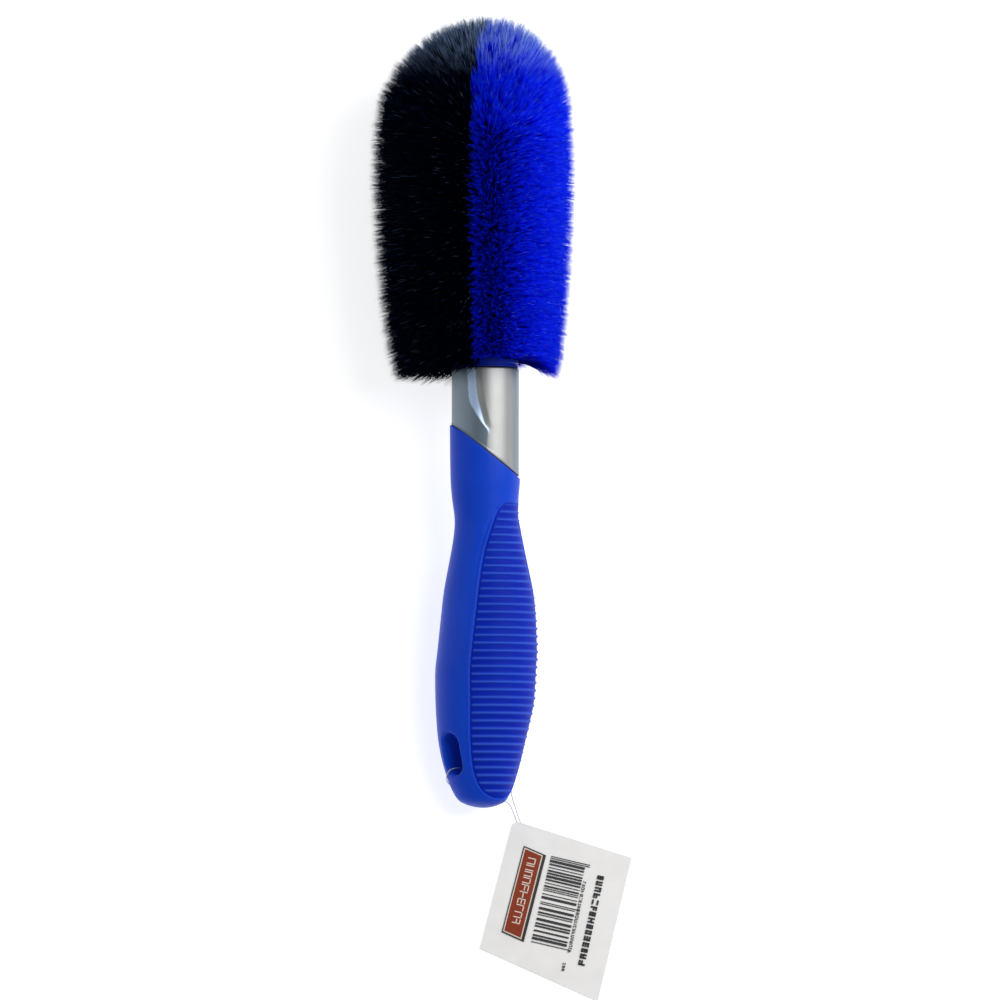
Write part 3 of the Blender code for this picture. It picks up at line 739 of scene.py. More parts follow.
def split_attribute(tree, name):
    """The node of an attribute, and a node that splits its colour."""
    mask = tree.nodes.new("ShaderNodeAttribute")
    mask.attribute_name = name
    split = tree.nodes.new("ShaderNodeSeparateColor")
    feed(tree, split.inputs["Color"], mask.outputs["Color"])
    return mask, split


def tint_by(material, attribute, colour):
    """Blend a material's base colour towards another, by the red of an attribute from 0 to 1."""
    tree = material.node_tree
    base = tree.nodes["Principled BSDF"].inputs["Base Color"]
    _, split = split_attribute(tree, attribute)
    feed(tree, base, mixed(tree, split.outputs["Red"], base.links[0].from_socket, (*colour, 1)))


# Painted highlight on the ridges; the valleys keep the darker blue as painted shade.
tint_by(rib_rubber, "ridge_highlight", (0.030, 0.090, 0.58))
pad = add_piece("ribbed_insert", laid_mesh("ribbed_insert", pad_form), "brush",
                rib_rubber, sharp=70)
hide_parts("rib_pad")

# %% [markdown]
# The collar is a plain tube with one flourish: a thin curved blade that starts wide at the top and
# thins out as it sweeps down to the grip. Its left edge is a crease. Right of it the surface falls
# away into a shallow groove, and left of it the wall is slightly flatter. Only fractions of a
# millimetre are needed, since a satin surface shows every change of slope. Two attributes carry
# colours: one the collar's own slate satin left of the crease together with a painted shade along
# the right flank, the other a painted pale blue highlight on the blade.

# %% The collar
COLLAR_BOTTOM, COLLAR_TOP = 110.8, 155.5
COLLAR_RADIUS, TUCKED_RADIUS, COLLAR_BORE = 11.9, 10.2, 8.9
COLLAR_COLUMNS, COLLAR_ROWS = 288, 96
TOP_ROUND = 0.6
SHELF_GAP = 0.3
BEAD_HEIGHT, BEAD_MIDDLE, BEAD_WIDTH = 0.16, 0.55, 0.3
ROWS_CROWD, TOP_STEPS = 1.5, 4
GROOVE_DEPTH, GROOVE_STARTS, GROOVE_END = 0.45, (131.5, 140), 2.4
FLAT_DEPTH, FLAT_NEAR, FLAT_FAR, NARROWEST_GROOVE = 0.14, 2.2, 7.0, 0.5
CREASE = [(120, 2.6), (126.4, 2.6), (130, 3.4), (132.8, 4.3), (136.3, -7.7), (139.9, -18.3),
          (143.5, -27.6), (151.7, -31.5), (156, -33)]
GROOVE = [(120, 5.5), (132.0, 6.6), (133.5, 6.0), (135.6, -0.9), (140.6, -7.7), (144.9, -12.9),
          (152, -16.5), (156, -17.5)]


def collar_inset(height, angle):
    """How far the surface lies under the plain cylinder, in mm."""
    arc = COLLAR_RADIUS * (angle - radians(along(CREASE, height)))
    wide = max(COLLAR_RADIUS * radians(along(GROOVE, height) - along(CREASE, height)), NARROWEST_GROOVE)
    depth = GROOVE_DEPTH * smooth_step(*GROOVE_STARTS, height)
    if arc < 0:
        return FLAT_DEPTH * (1 - exp(arc / FLAT_NEAR)) * exp(arc / FLAT_FAR)
    if arc < wide:
        return depth * arc / wide
    return depth * (1 - smooth_step(0, GROOVE_END, arc - wide))


# %% Where the collar is slate, where shade is painted on it, and where a highlight is painted
SLATE_EDGE, SLATE_BACK = (-0.8, 0.4), (-160, -110)
FLANK_SHADE_STARTS, FLANK_SHADE_ENDS, FLANK_SHADE_SHARE = (44, 62), (100, 140), 0.8
BLADE_EDGE, BLADE_STARTS = (-0.3, 0.6), (131, 134)


def slate_and_flank_shade(height, degree):
    """How much slate tint the satin takes: 1 left of the crease, its own two-tone, and 0.8 along the right
    flank as painted shade; else 0.
    """
    left = smooth_step(*SLATE_EDGE, along(CREASE, height) - degree) * smooth_step(*SLATE_BACK, degree)
    right = smooth_step(*FLANK_SHADE_STARTS, degree) * (1 - smooth_step(*FLANK_SHADE_ENDS, degree))
    return max(left, FLANK_SHADE_SHARE * right)


def blade_highlight(height, degree):
    """Painted highlight on the curved blade: 1 between the crease and the groove, else 0."""
    inside = min(degree - along(CREASE, height), along(GROOVE, height) - degree)
    return smooth_step(*BLADE_EDGE, inside) * smooth_step(*BLADE_STARTS, height)


# %% The collar's wall
def collar_skin(height, angle):
    """Radius of the collar's outside."""
    return COLLAR_RADIUS - collar_inset(height, angle)


def collar_point(column, row):
    """Rows: outer wall from the shelf to the top, then over and down the bore, and the tucked part."""
    angle = 2 * pi * column / COLLAR_COLUMNS - pi
    shelf = SLANT_HEIGHT + SHELF_GAP + SLANT_SLOPE * COLLAR_RADIUS * sin(angle)
    if row <= COLLAR_ROWS:
        share = (row / COLLAR_ROWS) ** ROWS_CROWD
        height = shelf + (COLLAR_TOP - TOP_ROUND - shelf) * share
        bead = BEAD_HEIGHT * exp(-((height - shelf - BEAD_MIDDLE) / BEAD_WIDTH) ** 2)
        radius = collar_skin(height, angle) + bead
    elif row <= COLLAR_ROWS + TOP_STEPS:
        bend = (row - COLLAR_ROWS) / TOP_STEPS * pi / 2
        height = COLLAR_TOP - TOP_ROUND * (1 - sin(bend))
        radius = collar_skin(height, angle) - TOP_ROUND * (1 - cos(bend))
    else:
        corners = [(COLLAR_BORE, COLLAR_TOP), (COLLAR_BORE, COLLAR_BOTTOM), (TUCKED_RADIUS, COLLAR_BOTTOM),
                   (TUCKED_RADIUS, shelf), (collar_skin(shelf, angle), shelf)]
        radius, height = corners[row - COLLAR_ROWS - TOP_STEPS - 1]
    return Vector((radius * sin(angle), -radius * cos(angle), height))


collar_form = wrapped(COLLAR_COLUMNS, COLLAR_ROWS + TOP_STEPS + 5, collar_point)
places = [(vertex.co.z, degrees(atan2(vertex.co.x, -vertex.co.y))) for vertex in collar_form.verts]
collar_mesh = laid_mesh("silver_collar", collar_form)
for name, zone in (("slate_and_flank_shade", slate_and_flank_shade), ("blade_highlight", blade_highlight)):
    mask = collar_mesh.attributes.new(name, "FLOAT", "POINT")
    mask.data.foreach_set("value", [zone(*place) for place in places])
# Slate: the collar's own two-tone left of the crease, and painted shade along the right flank.
tint_by(silver, "slate_and_flank_shade", (0.165, 0.21, 0.25))
# Pale blue on the blade is a painted highlight.
tint_by(silver, "blade_highlight", (0.47, 0.60, 0.80))
collar = add_piece("silver_collar", collar_mesh, "brush", silver, sharp=40)
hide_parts("collar")

# %% [markdown]
# The tuft block is a turned plastic core with a domed end. Between the bristles only a short
# stretch above the collar shows. A profile spun round the axis gives it, with a shallow groove
# where it meets the collar.

# %% The head core
HEAD_RADIUS, HEAD_DOME_FROM, HEAD_TOP = 11.6, 236.0, 252.0
SPIGOT_RADIUS, SPIGOT_BOTTOM = 6.0, 112.6
DOME_STEPS, CORE_SIDES = 10, 96
GROOVE_RADIUS, CORE_BOTTOM = HEAD_RADIUS - 0.35, 155.8
profile = [(0, HEAD_TOP)]
for step in range(1, DOME_STEPS + 1):
    bend = pi / 2 * (1 - step / DOME_STEPS)
    profile.append((HEAD_RADIUS * cos(bend), HEAD_DOME_FROM + (HEAD_TOP - HEAD_DOME_FROM) * sin(bend)))
profile += [(HEAD_RADIUS, 157.4), (GROOVE_RADIUS, 157.1), (GROOVE_RADIUS, 156.5), (HEAD_RADIUS, 156.2),
            (HEAD_RADIUS, CORE_BOTTOM), (SPIGOT_RADIUS, CORE_BOTTOM), (SPIGOT_RADIUS, SPIGOT_BOTTOM),
            (0, SPIGOT_BOTTOM)]
core_form = bmesh.new()
corners = [core_form.verts.new((radius, 0, height)) for radius, height in profile]
edges = [core_form.edges.new(pair) for pair in zip(corners, corners[1:])]
bmesh.ops.spin(core_form, geom=corners + edges, cent=(0, 0, 0), axis=(0, 0, 1), angle=2 * pi,
               steps=CORE_SIDES, use_merge=True)
bmesh.ops.remove_doubles(core_form, verts=core_form.verts, dist=0.001)
bmesh.ops.recalc_face_normals(core_form, faces=core_form.faces)
core = add_piece("tuft_block", laid_mesh("tuft_block", core_form), "brush", head_blue,
                 sharp=40)
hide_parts("head_core")

# %% [markdown]
# The bristles make the brush: tens of thousands of soft filaments, trimmed to one envelope. The real
# ones are set in tufts, but they stand so close that no gap shows, so the roots are spread evenly
# here and only the tips cling together, in small wisps. A particle system would not survive an
# export, so the filaments are real meshes. Each is a three-sided spike of ten triangles, shaped once
# with bmesh and stamped along its own bent line by array arithmetic. Every stamp carries one colour
# attribute: how far along the filament a point is, a shade for the filament, one for its wisp, and,
# in the alpha, how much painted highlight its tip takes near the dome's crown.

# %% The filament that is stamped
WAIST, WAIST_WIDTH = 0.62, 0.85
spike = bmesh.new()
bmesh.ops.create_cone(spike, cap_ends=True, segments=3, radius1=1, radius2=0, depth=1)
bmesh.ops.translate(spike, verts=spike.verts, vec=(0, 0, 0.5))
bmesh.ops.bisect_plane(spike, geom=whole(spike), plane_co=(0, 0, WAIST), plane_no=(0, 0, 1))
for vertex in spike.verts:
    if abs(vertex.co.z - WAIST) < 0.01:
        vertex.co.xy *= WAIST_WIDTH / (1 - WAIST)
bmesh.ops.remove_doubles(spike, verts=spike.verts, dist=0.001)
bmesh.ops.triangulate(spike, faces=spike.faces[:])
bmesh.ops.recalc_face_normals(spike, faces=spike.faces)
spike.verts.index_update()
SPIKE = np.array([vertex.co[:] for vertex in spike.verts])
SPIKE_FACES = np.array([[v.index for v in face.verts] for face in spike.faces])
spike.free()
print("filament:", len(SPIKE), "points,", len(SPIKE_FACES), "triangles")

# %% Stamping filaments along bent lines
FLOOR_CLEAR = 0.00015
draw = np.random.default_rng(11)


def unit(vectors):
    """Each row scaled to length 1."""
    return vectors / np.linalg.norm(vectors, axis=1, keepdims=True)


def stamped(name, roots, bends, tips, thick, shade, wisp_shade, crown_highlight):
    """A mesh of one filament per root, bent towards its middle point, in its final place.

    Where the head lies on the surface the filaments flatten against it.
    """
    matrix = np.array(LAID)
    roots, bends, tips = (group @ matrix[:3, :3].T + matrix[:3, 3] for group in (roots, bends, tips))
    for group in (bends, tips):
        group[:, 2] = np.maximum(group[:, 2], FLOOR_CLEAR)
    t = SPIKE[None, :, 2, None]
    spine = (1 - t) ** 2 * roots[:, None] + 2 * t * (1 - t) * bends[:, None] + t**2 * tips[:, None]
    side = unit(np.cross(tips - roots, draw.normal(size=roots.shape)))
    other = unit(np.cross(tips - roots, side))
    width = thick[:, None, None] * MM
    points = spine + width * (SPIKE[None, :, 0, None] * side[:, None]
                              + SPIKE[None, :, 1, None] * other[:, None])
    count, corners_each = len(roots), len(SPIKE)
    points = points.reshape(-1, 3)
    faces = (SPIKE_FACES[None] + np.arange(count)[:, None, None] * corners_each).reshape(-1)
    mesh = bpy.data.meshes.new(name)
    mesh.vertices.add(len(points))
    mesh.vertices.foreach_set("co", points.astype(np.float32).ravel())
    mesh.loops.add(len(faces))
    mesh.loops.foreach_set("vertex_index", faces.astype(np.int32))
    mesh.polygons.add(len(faces) // 3)
    mesh.polygons.foreach_set("loop_start", np.arange(0, len(faces), 3, dtype=np.int32))
    strand = mesh.attributes.new("strand", "FLOAT_COLOR", "POINT")
    colours = np.ones((count, corners_each, 4), np.float32)
    channels = (SPIKE[None, :, 2], shade[:, None], wisp_shade[:, None], crown_highlight[:, None])
    for number, values in enumerate(channels):
        colours[:, :, number] = values
    strand.data.foreach_set("color", colours.ravel())
    mesh.update(calc_edges=True)
    return mesh


# %% [markdown]
# A bristle finish follows the filament rather than the space around it. A colour ramp along the
# strand goes from the shaded root to the lit tip, and the two shades from the attribute vary the
# filaments and the wisps a little. A pale colour is mixed in at the very tip of a few worn filaments
# anywhere, and as a painted highlight at the tips near the dome's crown. Black and blue bristles are
# the same finish with other ramps.

# %% The bristle finish
WORN_FROM, WORN_STEP = 0.984, 0.02
PALE_FROM, PALE_TO = 0.82, 0.96
GLOSS_SWAY = 0.06


def bristle_finish(name, ramp_stops, roughness, low, high, specular, pale):
    """A ramp along the strand, shaded per filament; a few filaments have worn pale tips, and tips near the
    crown a painted highlight.
    """
    material, tree, shader = new_finish(name)
    strand, split = split_attribute(tree, "strand")
    ramp = tree.nodes.new("ShaderNodeValToRGB")
    stops = ramp.color_ramp.elements
    for number, (place, colour) in enumerate(ramp_stops):
        stop = stops[number] if number < 2 else stops.new(place)
        stop.position = place
        stop.color = (*colour, 1)
    feed(tree, ramp.inputs["Fac"], split.outputs["Red"])
    total = reckoned(tree, "ADD", split.outputs["Green"], split.outputs["Blue"])
    level = ranged(tree, total, From_Max=2.0, To_Min=low, To_Max=high)
    tone = mixed(tree, 1.0, ramp.outputs["Color"], level, "MULTIPLY")
    worn = ranged(tree, split.outputs["Green"], From_Min=WORN_FROM, From_Max=WORN_FROM + WORN_STEP)
    end = ranged(tree, split.outputs["Red"], From_Min=PALE_FROM, From_Max=PALE_TO)
    # Worn tips, and the painted highlight on crown tips from the alpha, take the same pale colour.
    wear_and_highlight = reckoned(tree, "MAXIMUM", worn, strand.outputs["Alpha"])
    pale_wear_and_highlight = mixed(tree, reckoned(tree, "MULTIPLY", wear_and_highlight, end), tone, (*pale, 1))
    feed(tree, shader.inputs["Base Color"], pale_wear_and_highlight)
    gloss = ranged(tree, split.outputs["Green"], To_Min=roughness - GLOSS_SWAY,
                   To_Max=roughness + GLOSS_SWAY)
    feed(tree, shader.inputs["Roughness"], gloss)
    shader.inputs["Specular IOR Level"].default_value = specular
    return material


BLACK_RAMP = [(0.0, (0.0002, 0.0002, 0.0006)), (0.70, (0.0003, 0.0007, 0.004)),
              (0.92, (0.0004, 0.0012, 0.006)), (1.0, (0.010, 0.022, 0.06))]
BLUE_RAMP = [(0.0, (0.0, 0.0005, 0.10)), (0.60, (0.0, 0.001, 0.55)),
             (0.92, (0.0, 0.009, 0.84)), (1.0, (0.03, 0.15, 0.92))]
bristle_black = bristle_finish("bristle_black", BLACK_RAMP, 0.5, 0.3, 1.7, 0.0, (0.30, 0.46, 0.80))
bristle_blue = bristle_finish("bristle_blue", BLUE_RAMP, 0.5, 0.6, 1.4, 0.02, (0.42, 0.64, 1.0))
BRISTLES = {"black": ("black_bristle", bristle_black), "blue": ("blue_bristle", bristle_blue)}
print("bristle finishes:", sorted(BRISTLES))

# %% [markdown]
# Sixteen rows stand round the core, eight in each colour, and a half dome of each colour closes the
# end. The roots and tips of a row spread evenly over its share of the core and of the envelope, and
# the lowest filaments splay down past the collar's rim. The blue ones start a little higher at the
# front and at the back than at their side. All tips lean a little to the left, as after a few
# wheels.

# %% Where the bristles start and end
ROWS_BOTTOM, ROWS_TOP = 158.6, 238.0
ROW_ENVELOPE = [(151.5, 28.7), (162, 31.0), (180, 33.2), (198, 34.6), (216, 35.5), (230, 35.6),
                (238.3, 35.3)]
CROWN_ENVELOPE = [(35.3, 238.3), (34.7, 246), (33.2, 254), (30.6, 260.5), (27.0, 266.3), (22.0, 271.8),
                  (15.5, 276.6), (8.0, 279.3), (0.0, 280.2)]
ROWS_PER_COLOUR = 8
SPLIT_ANGLE = radians(-3)
LEAN, APEX_LEAN, REACH = -4.1, 1.5, 35.6
ROOT_RADIUS, ROOT_DEPTH, ROOT_SCATTER = 12.0, 0.5, 0.5
FILAMENTS_PER_WISP, WISP_AREA, DOME_WISP_AREA = 4, 0.88, 1.05
TIP_STAND, TIP_SCATTER = 2.1, 2.4
TIP_SPREAD, SWAY, STRAY = 0.28, 0.7, 0.045
HEIGHT_SCATTER, TIP_RISE = 0.7, 0.30
LONG_SHARE, LONG_BY, SHORT_BY = 0.08, 0.7, 0.45
BEND_ALONG, BEND_OUT, BEND_SCATTER = 0.30, 0.22, 0.8
SMALLEST_TURN = 4
THINNEST, THICKEST = 0.8, 1.2
ROW_WIDTH, DOME_WIDTH = 0.12, 0.15
RISE, RISE_ANGLE, RISE_SLOPE, RISE_CUT = 6.5, radians(57), 3, 1.8
CROWN_HIGHLIGHT_FROM, CROWN_HIGHLIGHT_TO, CROWN_HIGHLIGHT_SHARE = 258.0, 274.0, 0.55


def polar(radius, angle, height):
    """Upright points from arrays of radius, angle from the front, and height."""
    return np.stack([radius * np.sin(angle), -radius * np.cos(angle), height], 1)


def wisps(count):
    """For each filament, the number of its wisp."""
    return np.repeat(np.arange(count), FILAMENTS_PER_WISP)


def filaments(name, colour, tip_radius, tip_angle, tip_height, roots, outward, lean, limits, width):
    """Bend, spread and stamp the filaments of one piece; the arrays hold one entry per wisp."""
    owner = wisps(len(tip_radius))
    count = len(owner)
    longer = np.where(draw.random(count) < LONG_SHARE, np.abs(draw.normal(0, LONG_BY, count)), 0.0)
    radius = tip_radius[owner] - np.abs(draw.normal(0, SHORT_BY, count)) + longer
    height = tip_height[owner] + draw.normal(0, TIP_RISE, count)
    aside = draw.normal(0, SWAY, len(tip_radius))[owner] + draw.normal(0, TIP_SPREAD, count)
    angle = tip_angle[owner] + aside / np.maximum(tip_radius[owner], SMALLEST_TURN)
    angle = np.clip(angle, *limits)
    tips = polar(radius, angle, height)
    starts = roots[owner] + draw.normal(0, ROOT_SCATTER, (count, 3))
    length = np.linalg.norm(tips - starts, axis=1, keepdims=True)
    bends = starts + BEND_ALONG * (tips - starts) + BEND_OUT * length * outward[owner]
    bends += draw.normal(0, BEND_SCATTER, (count, 3))
    for group in (bends, tips):
        group[:, 0] += lean(np.hypot(group[:, 0], group[:, 1]), group[:, 2])
    thick = width * draw.uniform(THINNEST, THICKEST, count)
    # About half the tips near the dome's crown get a painted highlight, rising with height.
    crown_highlight = np.clip((height - CROWN_HIGHLIGHT_FROM) / (CROWN_HIGHLIGHT_TO - CROWN_HIGHLIGHT_FROM), 0, 1)
    crown_highlight *= draw.random(count) < CROWN_HIGHLIGHT_SHARE
    mesh = stamped(name, starts, bends, tips, thick, draw.random(count),
                   draw.random(len(tip_radius))[owner], crown_highlight)
    slot_name, finish = BRISTLES[colour]
    return add_piece(name, mesh, "brush", finish)


# %% The sixteen rows
SWEEP = pi / ROWS_PER_COLOUR
row_area = REACH * SWEEP * (ROW_ENVELOPE[-1][0] - ROW_ENVELOPE[0][0])
ACROSS = 14
UP = round(row_area / WISP_AREA / ACROSS)


def row_lean(radius, height):
    """How far a filament of a row leans, by its distance from the axis."""
    return LEAN * (radius - ROOT_RADIUS) / (REACH - ROOT_RADIUS)


for number in range(2 * ROWS_PER_COLOUR):
    colour = "blue" if number < ROWS_PER_COLOUR else "black"
    label = f"{colour}_{number % ROWS_PER_COLOUR + 1}"
    start = SPLIT_ANGLE + number * SWEEP
    cells = np.indices((ACROSS, UP)).reshape(2, -1)
    share = (cells[0] + draw.random(cells.shape[1])) / ACROSS
    level = (cells[1] + draw.random(cells.shape[1])) / UP
    tip_angle = start + share * SWEEP
    from_corner = np.abs(tip_angle - pi / 2) - RISE_ANGLE
    lowest = ROW_ENVELOPE[0][0] + RISE * np.clip(RISE_SLOPE * np.cos(from_corner) - RISE_CUT, 0, 1)
    tip_height = lowest + level * (ROW_ENVELOPE[-1][0] - lowest)
    tip_height += draw.normal(0, HEIGHT_SCATTER, len(tip_height))
    tip_radius = np.array([along(ROW_ENVELOPE, h) for h in tip_height])
    tip_radius += TIP_STAND - np.abs(draw.normal(0, TIP_SCATTER, len(tip_radius)))
    root_height = ROWS_BOTTOM + ROOT_DEPTH + level * (ROWS_TOP - ROWS_BOTTOM - ROOT_DEPTH)
    roots = polar(np.full(len(share), ROOT_RADIUS - ROOT_DEPTH), tip_angle, root_height)
    outward = polar(np.ones(len(share)), tip_angle, np.zeros(len(share)))
    limits = (start - STRAY, start + SWEEP + STRAY)
    row_piece = filaments(f"row_{label}", colour, tip_radius, tip_angle, tip_height, roots, outward,
                          row_lean, limits, ROW_WIDTH)
    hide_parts(f"bristle_{label}")

# %% [markdown]
# The dome's bristles start on the rounded end of the core and fan from level to straight up. To
# spread their tips evenly, each tip's place along the envelope is drawn with a chance that grows
# with the circle it stands for.

# %% The two half domes
stations = np.array(CROWN_ENVELOPE)
lengths = np.concatenate([[0], np.cumsum(np.linalg.norm(np.diff(stations, axis=0), axis=1))])
FINE_STEPS = 400
fine = np.linspace(0, lengths[-1], FINE_STEPS)
fine_radius, fine_height = (np.interp(fine, lengths, stations[:, k]) for k in (0, 1))
chance = np.cumsum(fine_radius)
chance /= chance[-1]
dome_area = pi * fine_radius.mean() * lengths[-1]
DOME_ROOT = 11.2


def crown_lean(radius, height):
    """How far a filament of the dome leans: the rows' lean, and more to the right towards the top."""
    climbed = (height - stations[0, 1]) / (stations[-1, 1] - stations[0, 1])
    return LEAN * radius / REACH + APEX_LEAN * climbed


for colour, start in (("blue", SPLIT_ANGLE), ("black", SPLIT_ANGLE + pi)):
    count = round(dome_area / DOME_WISP_AREA)
    order = (np.arange(count) + draw.random(count)) / count
    place = np.interp(order, chance, fine)
    tip_radius = np.interp(place, fine, fine_radius)
    tip_height = np.interp(place, fine, fine_height)
    tip_angle = start + draw.random(count) * pi
    climb = place / lengths[-1] * pi / 2
    inwards = np.abs(draw.normal(0, TIP_SCATTER, count)) - TIP_STAND
    tip_radius = np.maximum(tip_radius - inwards * np.cos(climb), 0.05)
    tip_height = tip_height - inwards * np.sin(climb)
    roots = polar(DOME_ROOT * np.cos(climb), tip_angle,
                  HEAD_DOME_FROM + (HEAD_TOP - HEAD_DOME_FROM - ROOT_DEPTH) * np.sin(climb))
    outward = polar(np.cos(climb), tip_angle, np.sin(climb))
    dome = filaments(f"dome_{colour}", colour, tip_radius, tip_angle, tip_height, roots, outward,
                     crown_lean, (start - STRAY, start + pi + STRAY), DOME_WIDTH)
    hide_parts(f"crown_{colour}")

# %% [markdown]
# The label is a folded paper card: two leaves with the knot between them. Each leaf is a thin sheet
# and the front one has a slight curl, since a dead flat card looks cut from plastic. The printing is
# kept generic: a coloured panel, a bar pattern, and letter-like marks that spell nothing. Each is a
# very thin raised layer on the leaf, so it stays put in every view.

# %% The label's leaves
LABEL_CORNERS = [(13.9, -141.9), (55.9, -155.3), (43.8, -206.3), (2.1, -187.5)]
LABEL_CLIP = 1.6
LEAF_THICK = 0.30
BACK_LEAF_BOTTOM = 0.06
FRONT_LEAF_BOTTOM = [1.8, 1.3, 0.75]
LEAF_CELLS = 40
FRONT_CURL = 0.45
LEAF = [Vector(corner) for corner in LABEL_CORNERS]
knot_corner, right_corner, far_corner, left_corner = LEAF


def front_height(x, y):
    """Plane through the front leaf's underside at its first three corners, in mm."""
    a, b, c = [Vector((*corner, height)) for corner, height in zip(LABEL_CORNERS, FRONT_LEAF_BOTTOM)]
    normal = (b - a).cross(c - a)
    return a.z - (normal.x * (x - a.x) + normal.y * (y - a.y)) / normal.z


def leaf_curl(u, v, amount):
    """A soft arch across the leaf that lifts its far right corner a little."""
    return amount * (0.5 * sin(pi * v) * sin(pi * u) + (u * v) ** 3)


def between(corners, u, v):
    """Point among four corners: u goes from the first to the second, v from the first to the last."""
    first, second, third, last = corners
    return first.lerp(second, u).lerp(last.lerp(third, u), v)


def unit_place(vertex):
    """Where a vertex of a fresh grid lies, from 0 to 1 across and down."""
    return (vertex.co.x + 1) / 2, (1 - vertex.co.y) / 2


def leaf_point(u, v, lift):
    """Point on the front leaf's top face: u goes right from the knot's corner, v goes down."""
    spot = between(LEAF, u, v)
    return Vector((spot.x, spot.y,
                   front_height(spot.x, spot.y) + LEAF_THICK + lift + leaf_curl(u, v, FRONT_CURL)))


def leaf_form(height_at, curl):
    """A thin sheet over the label's outline, its knot corner clipped."""
    leaf = bmesh.new()
    bmesh.ops.create_grid(leaf, x_segments=LEAF_CELLS, y_segments=LEAF_CELLS, size=1)
    for vertex in leaf.verts:
        u, v = unit_place(vertex)
        spot = between(LEAF, u, v)
        vertex.co = (spot.x, spot.y, height_at(spot.x, spot.y) + leaf_curl(u, v, curl))
    to_right = (right_corner - knot_corner).normalized()
    to_left = (left_corner - knot_corner).normalized()
    first, second = knot_corner + to_left * LABEL_CLIP, knot_corner + to_right * LABEL_CLIP
    across = (second - first).normalized()
    outwards = Vector((-across.y, across.x, 0))
    if outwards.xy.dot(knot_corner - first) < 0:
        outwards = -outwards
    bmesh.ops.bisect_plane(leaf, geom=whole(leaf), plane_co=(*first, 0), plane_no=outwards,
                           clear_outer=True)
    bmesh.ops.recalc_face_normals(leaf, faces=leaf.faces)
    if sum(face.normal.z for face in leaf.faces) > 0:
        bmesh.ops.reverse_faces(leaf, faces=leaf.faces)
    bmesh.ops.solidify(leaf, geom=whole(leaf), thickness=-LEAF_THICK)
    return leaf


front_mesh = laid_mesh("leaf_front", leaf_form(front_height, FRONT_CURL), ON_SURFACE)
front = add_piece("leaf_front", front_mesh, "tag", paper, sharp=40)
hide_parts("tag_front")
back_mesh = laid_mesh("leaf_back", leaf_form(lambda x, y: BACK_LEAF_BOTTOM, 0.0), ON_SURFACE)
back_leaf = add_piece("leaf_back", back_mesh, "tag", paper, sharp=40)
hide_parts("tag_back")

# %% [markdown]
# Print positions are easiest in the label's own millimetres: one number across from the knot's
# corner and one down. A patch is a small grid laid between four such corners, so it bends with the
# leaf, and it is given a hair of thickness.

# %% Print helpers
EDGE_ACROSS = (right_corner - knot_corner).length
INK_THICK, INK_LIFT = 0.03, 0.01
NARROW_MARK, WIDE_MARK = 0.55, 0.80
LEFT_CHANCE, RIGHT_CHANCE, CROSS_CHANCE = 0.8, 0.6, 0.55
across_way = (right_corner - knot_corner).normalized()
down_way = Vector((across_way.y, -across_way.x))


def on_label(a, b, lift):
    """Point on the front leaf at a mm across and b mm down."""
    spot = knot_corner + across_way * a + down_way * b
    u, v = a / EDGE_ACROSS, 0.5
    for _ in range(12):
        top, bottom = knot_corner.lerp(right_corner, u), left_corner.lerp(far_corner, u)
        v = (spot - top).dot((bottom - top).normalized()) / (bottom - top).length
        left, right = knot_corner.lerp(left_corner, v), right_corner.lerp(far_corner, v)
        u = (spot - left).dot((right - left).normalized()) / (right - left).length
    return leaf_point(u, v, lift)


def add_patch(form, corners, lift, cells):
    """A thin patch of print between four corners given in label millimetres."""
    made = bmesh.ops.create_grid(form, x_segments=cells[0], y_segments=cells[1], size=1)["verts"]
    corners = [Vector(corner) for corner in corners]
    for vertex in made:
        spot = between(corners, *unit_place(vertex))
        vertex.co = on_label(spot.x, spot.y, lift)
    faces = list({face for vertex in made for face in vertex.link_faces})
    edges = list({edge for vertex in made for edge in vertex.link_edges})
    bmesh.ops.recalc_face_normals(form, faces=faces)
    if faces[0].normal.z > 0:
        bmesh.ops.reverse_faces(form, faces=faces)
    bmesh.ops.solidify(form, geom=made + edges + faces, thickness=-INK_THICK)


def print_piece(name, patches, material):
    """One colour of print as one piece; a patch is its corners, its lift and its cells."""
    ink = bmesh.new()
    for corners, lift, cells in patches:
        add_patch(ink, corners, lift, cells)
    return add_piece(name, laid_mesh(name, ink, ON_SURFACE), "tag", material, sharp=40)


def shrunk(corners, left, top, right, bottom):
    """The corners pulled in by some mm on each side."""
    a0, a1, a2, a3 = [Vector(corner) for corner in corners]
    across, down = (a1 - a0).normalized(), (a3 - a0).normalized()
    return [a0 + across * left + down * top, a1 - across * right + down * top,
            a2 - across * right - down * bottom, a3 + across * left - down * bottom]


def marks(start_at, end_at, tall, stroke, gap, lift, chance_draw):
    """A run of letter-like marks that spell nothing: uprights and cross strokes by chance."""
    way = (end_at - start_at).normalized()
    side = Vector((way.y, -way.x))
    patches, position = [], 0.0
    while position < (end_at - start_at).length - tall:
        wide = tall * chance_draw.uniform(NARROW_MARK, WIDE_MARK)
        strokes = [(0, stroke, 0, tall)] if chance_draw.random() < LEFT_CHANCE else []
        if chance_draw.random() < RIGHT_CHANCE:
            strokes.append((wide - stroke, wide, 0, tall))
        for level in (0, (tall - stroke) / 2, tall - stroke):
            if chance_draw.random() < CROSS_CHANCE or not strokes:
                strokes.append((0, wide, level, level + stroke))
        for near, far, base, crest in strokes:
            corner = start_at + way * (position + near) + side * base
            run, rise = way * (far - near), side * (crest - base)
            patches.append(([corner, corner + rise, corner + rise + run, corner + run], lift, (2, 2)))
        position += wide + gap
    return patches


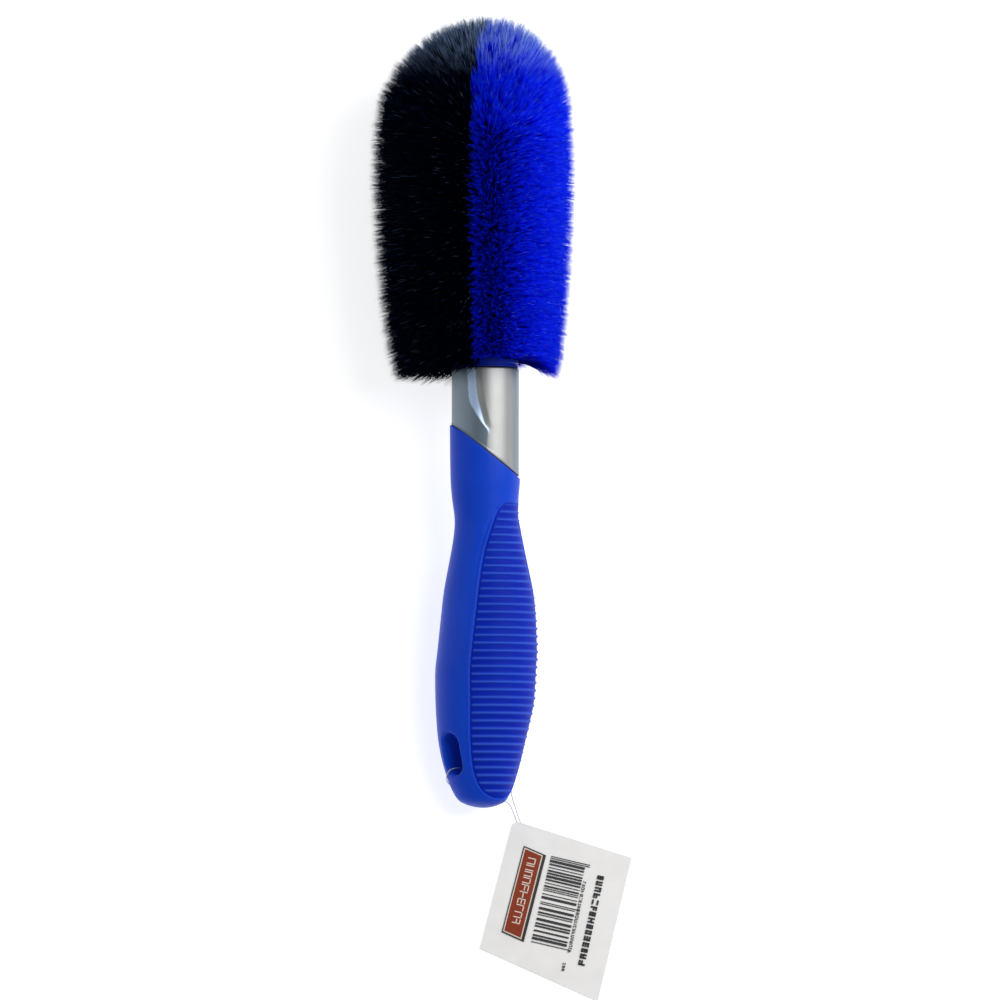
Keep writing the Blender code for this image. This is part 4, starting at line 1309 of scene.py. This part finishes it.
# %% The printed panel
PANEL = [(6.5, 7.6), (15.0, 8.5), (16.8, 40.2), (8.3, 39.2)]
PANEL_CELLS = (6, 20)
LINE_LIFT, FIELD_LIFT, WORDS_LIFT = 0.045, 0.08, 0.115
print_piece("label_panel_edge", [(PANEL, INK_LIFT, PANEL_CELLS)], dark_ink)
print_piece("label_panel_line", [(shrunk(PANEL, 0.35, 0.5, 1.1, 0.5), LINE_LIFT, PANEL_CELLS)], pale_ink)
print_piece("label_panel", [(shrunk(PANEL, 0.75, 0.9, 1.5, 0.9), FIELD_LIFT, PANEL_CELLS)], panel_ink)
WORDS_FROM, WORDS_TO = Vector((9.2, 11.0)), Vector((10.8, 37.4))
mark_draw = np.random.default_rng(41)
words = marks(WORDS_FROM, WORDS_TO, 2.9, 0.38, 0.35, WORDS_LIFT, mark_draw)
print_piece("label_panel_words", words, pale_ink)

# %% [markdown]
# The bars stand in for a price code. Their widths and gaps are drawn by chance, so they encode
# nothing, and only the longer guard bars at the ends and in the middle are regular. Beside them run
# a small row, a big row and a tiny one of the same letter-like marks.

# %% The bars
BARS_LOW, BARS_HIGH = Vector((16.8, 8.1)), Vector((19.3, 39.7))
BAR_LONG, BAR_SHORT = 14.2, 12.6
MODULE, BAR_INK, GUARD, WIDEST_BAR = 0.33, 0.9, 3, 3
bar_draw = np.random.default_rng(29)
down = (BARS_HIGH - BARS_LOW).normalized()
sideways = Vector((down.y, -down.x))
total_modules = int((BARS_HIGH - BARS_LOW).length / MODULE)
bars, module = [], 0
while module < total_modules:
    ends = module < GUARD or module > total_modules - 2 * GUARD
    middle = abs(module - total_modules / 2) < GUARD
    wide = 1 if ends or middle else int(bar_draw.integers(1, WIDEST_BAR + 1))
    run = BAR_LONG if ends or middle else BAR_SHORT
    start = BARS_LOW + down * module * MODULE
    stop = start + down * wide * MODULE * BAR_INK
    bars.append(([start, start + sideways * run, stop + sideways * run, stop], INK_LIFT, (6, 1)))
    module += wide + (1 if ends or middle else int(bar_draw.integers(1, WIDEST_BAR + 1)))
print_piece("label_bars", bars, dark_ink)

# %% The rows of marks: name, where they start and end, height, stroke, gap
MARK_ROWS = [("label_small_row", (30.2, 13.3), (32.8, 40.2), 1.15, 0.22, 0.35),
             ("label_big_row", (34.5, 9.6), (37.7, 44.6), 2.4, 0.66, 0.55),
             ("label_tiny_mark", (32.2, 42.9), (32.6, 46.0), 1.0, 0.3, 0.3)]
for name, first, last, tall, stroke, gap in MARK_ROWS:
    row_of_marks = marks(Vector(first), Vector(last), tall, stroke, gap, INK_LIFT, bar_draw)
    print_piece(name, row_of_marks, dark_ink)

# %% [markdown]
# The frame's own parts that still show get their finishes too: the stiff core inside the grip, the
# pin that holds the head, and the knot. Their meshes stay as they are.

# %% Finishes for the carried parts
for node, material in (("handle_core", core_grey), ("lock_pin", pin_steel), ("loop_knot", nylon)):
    mesh = frame["nodes"][node].data
    mesh.materials.clear()
    mesh.materials.append(material)
print("carried parts finished")
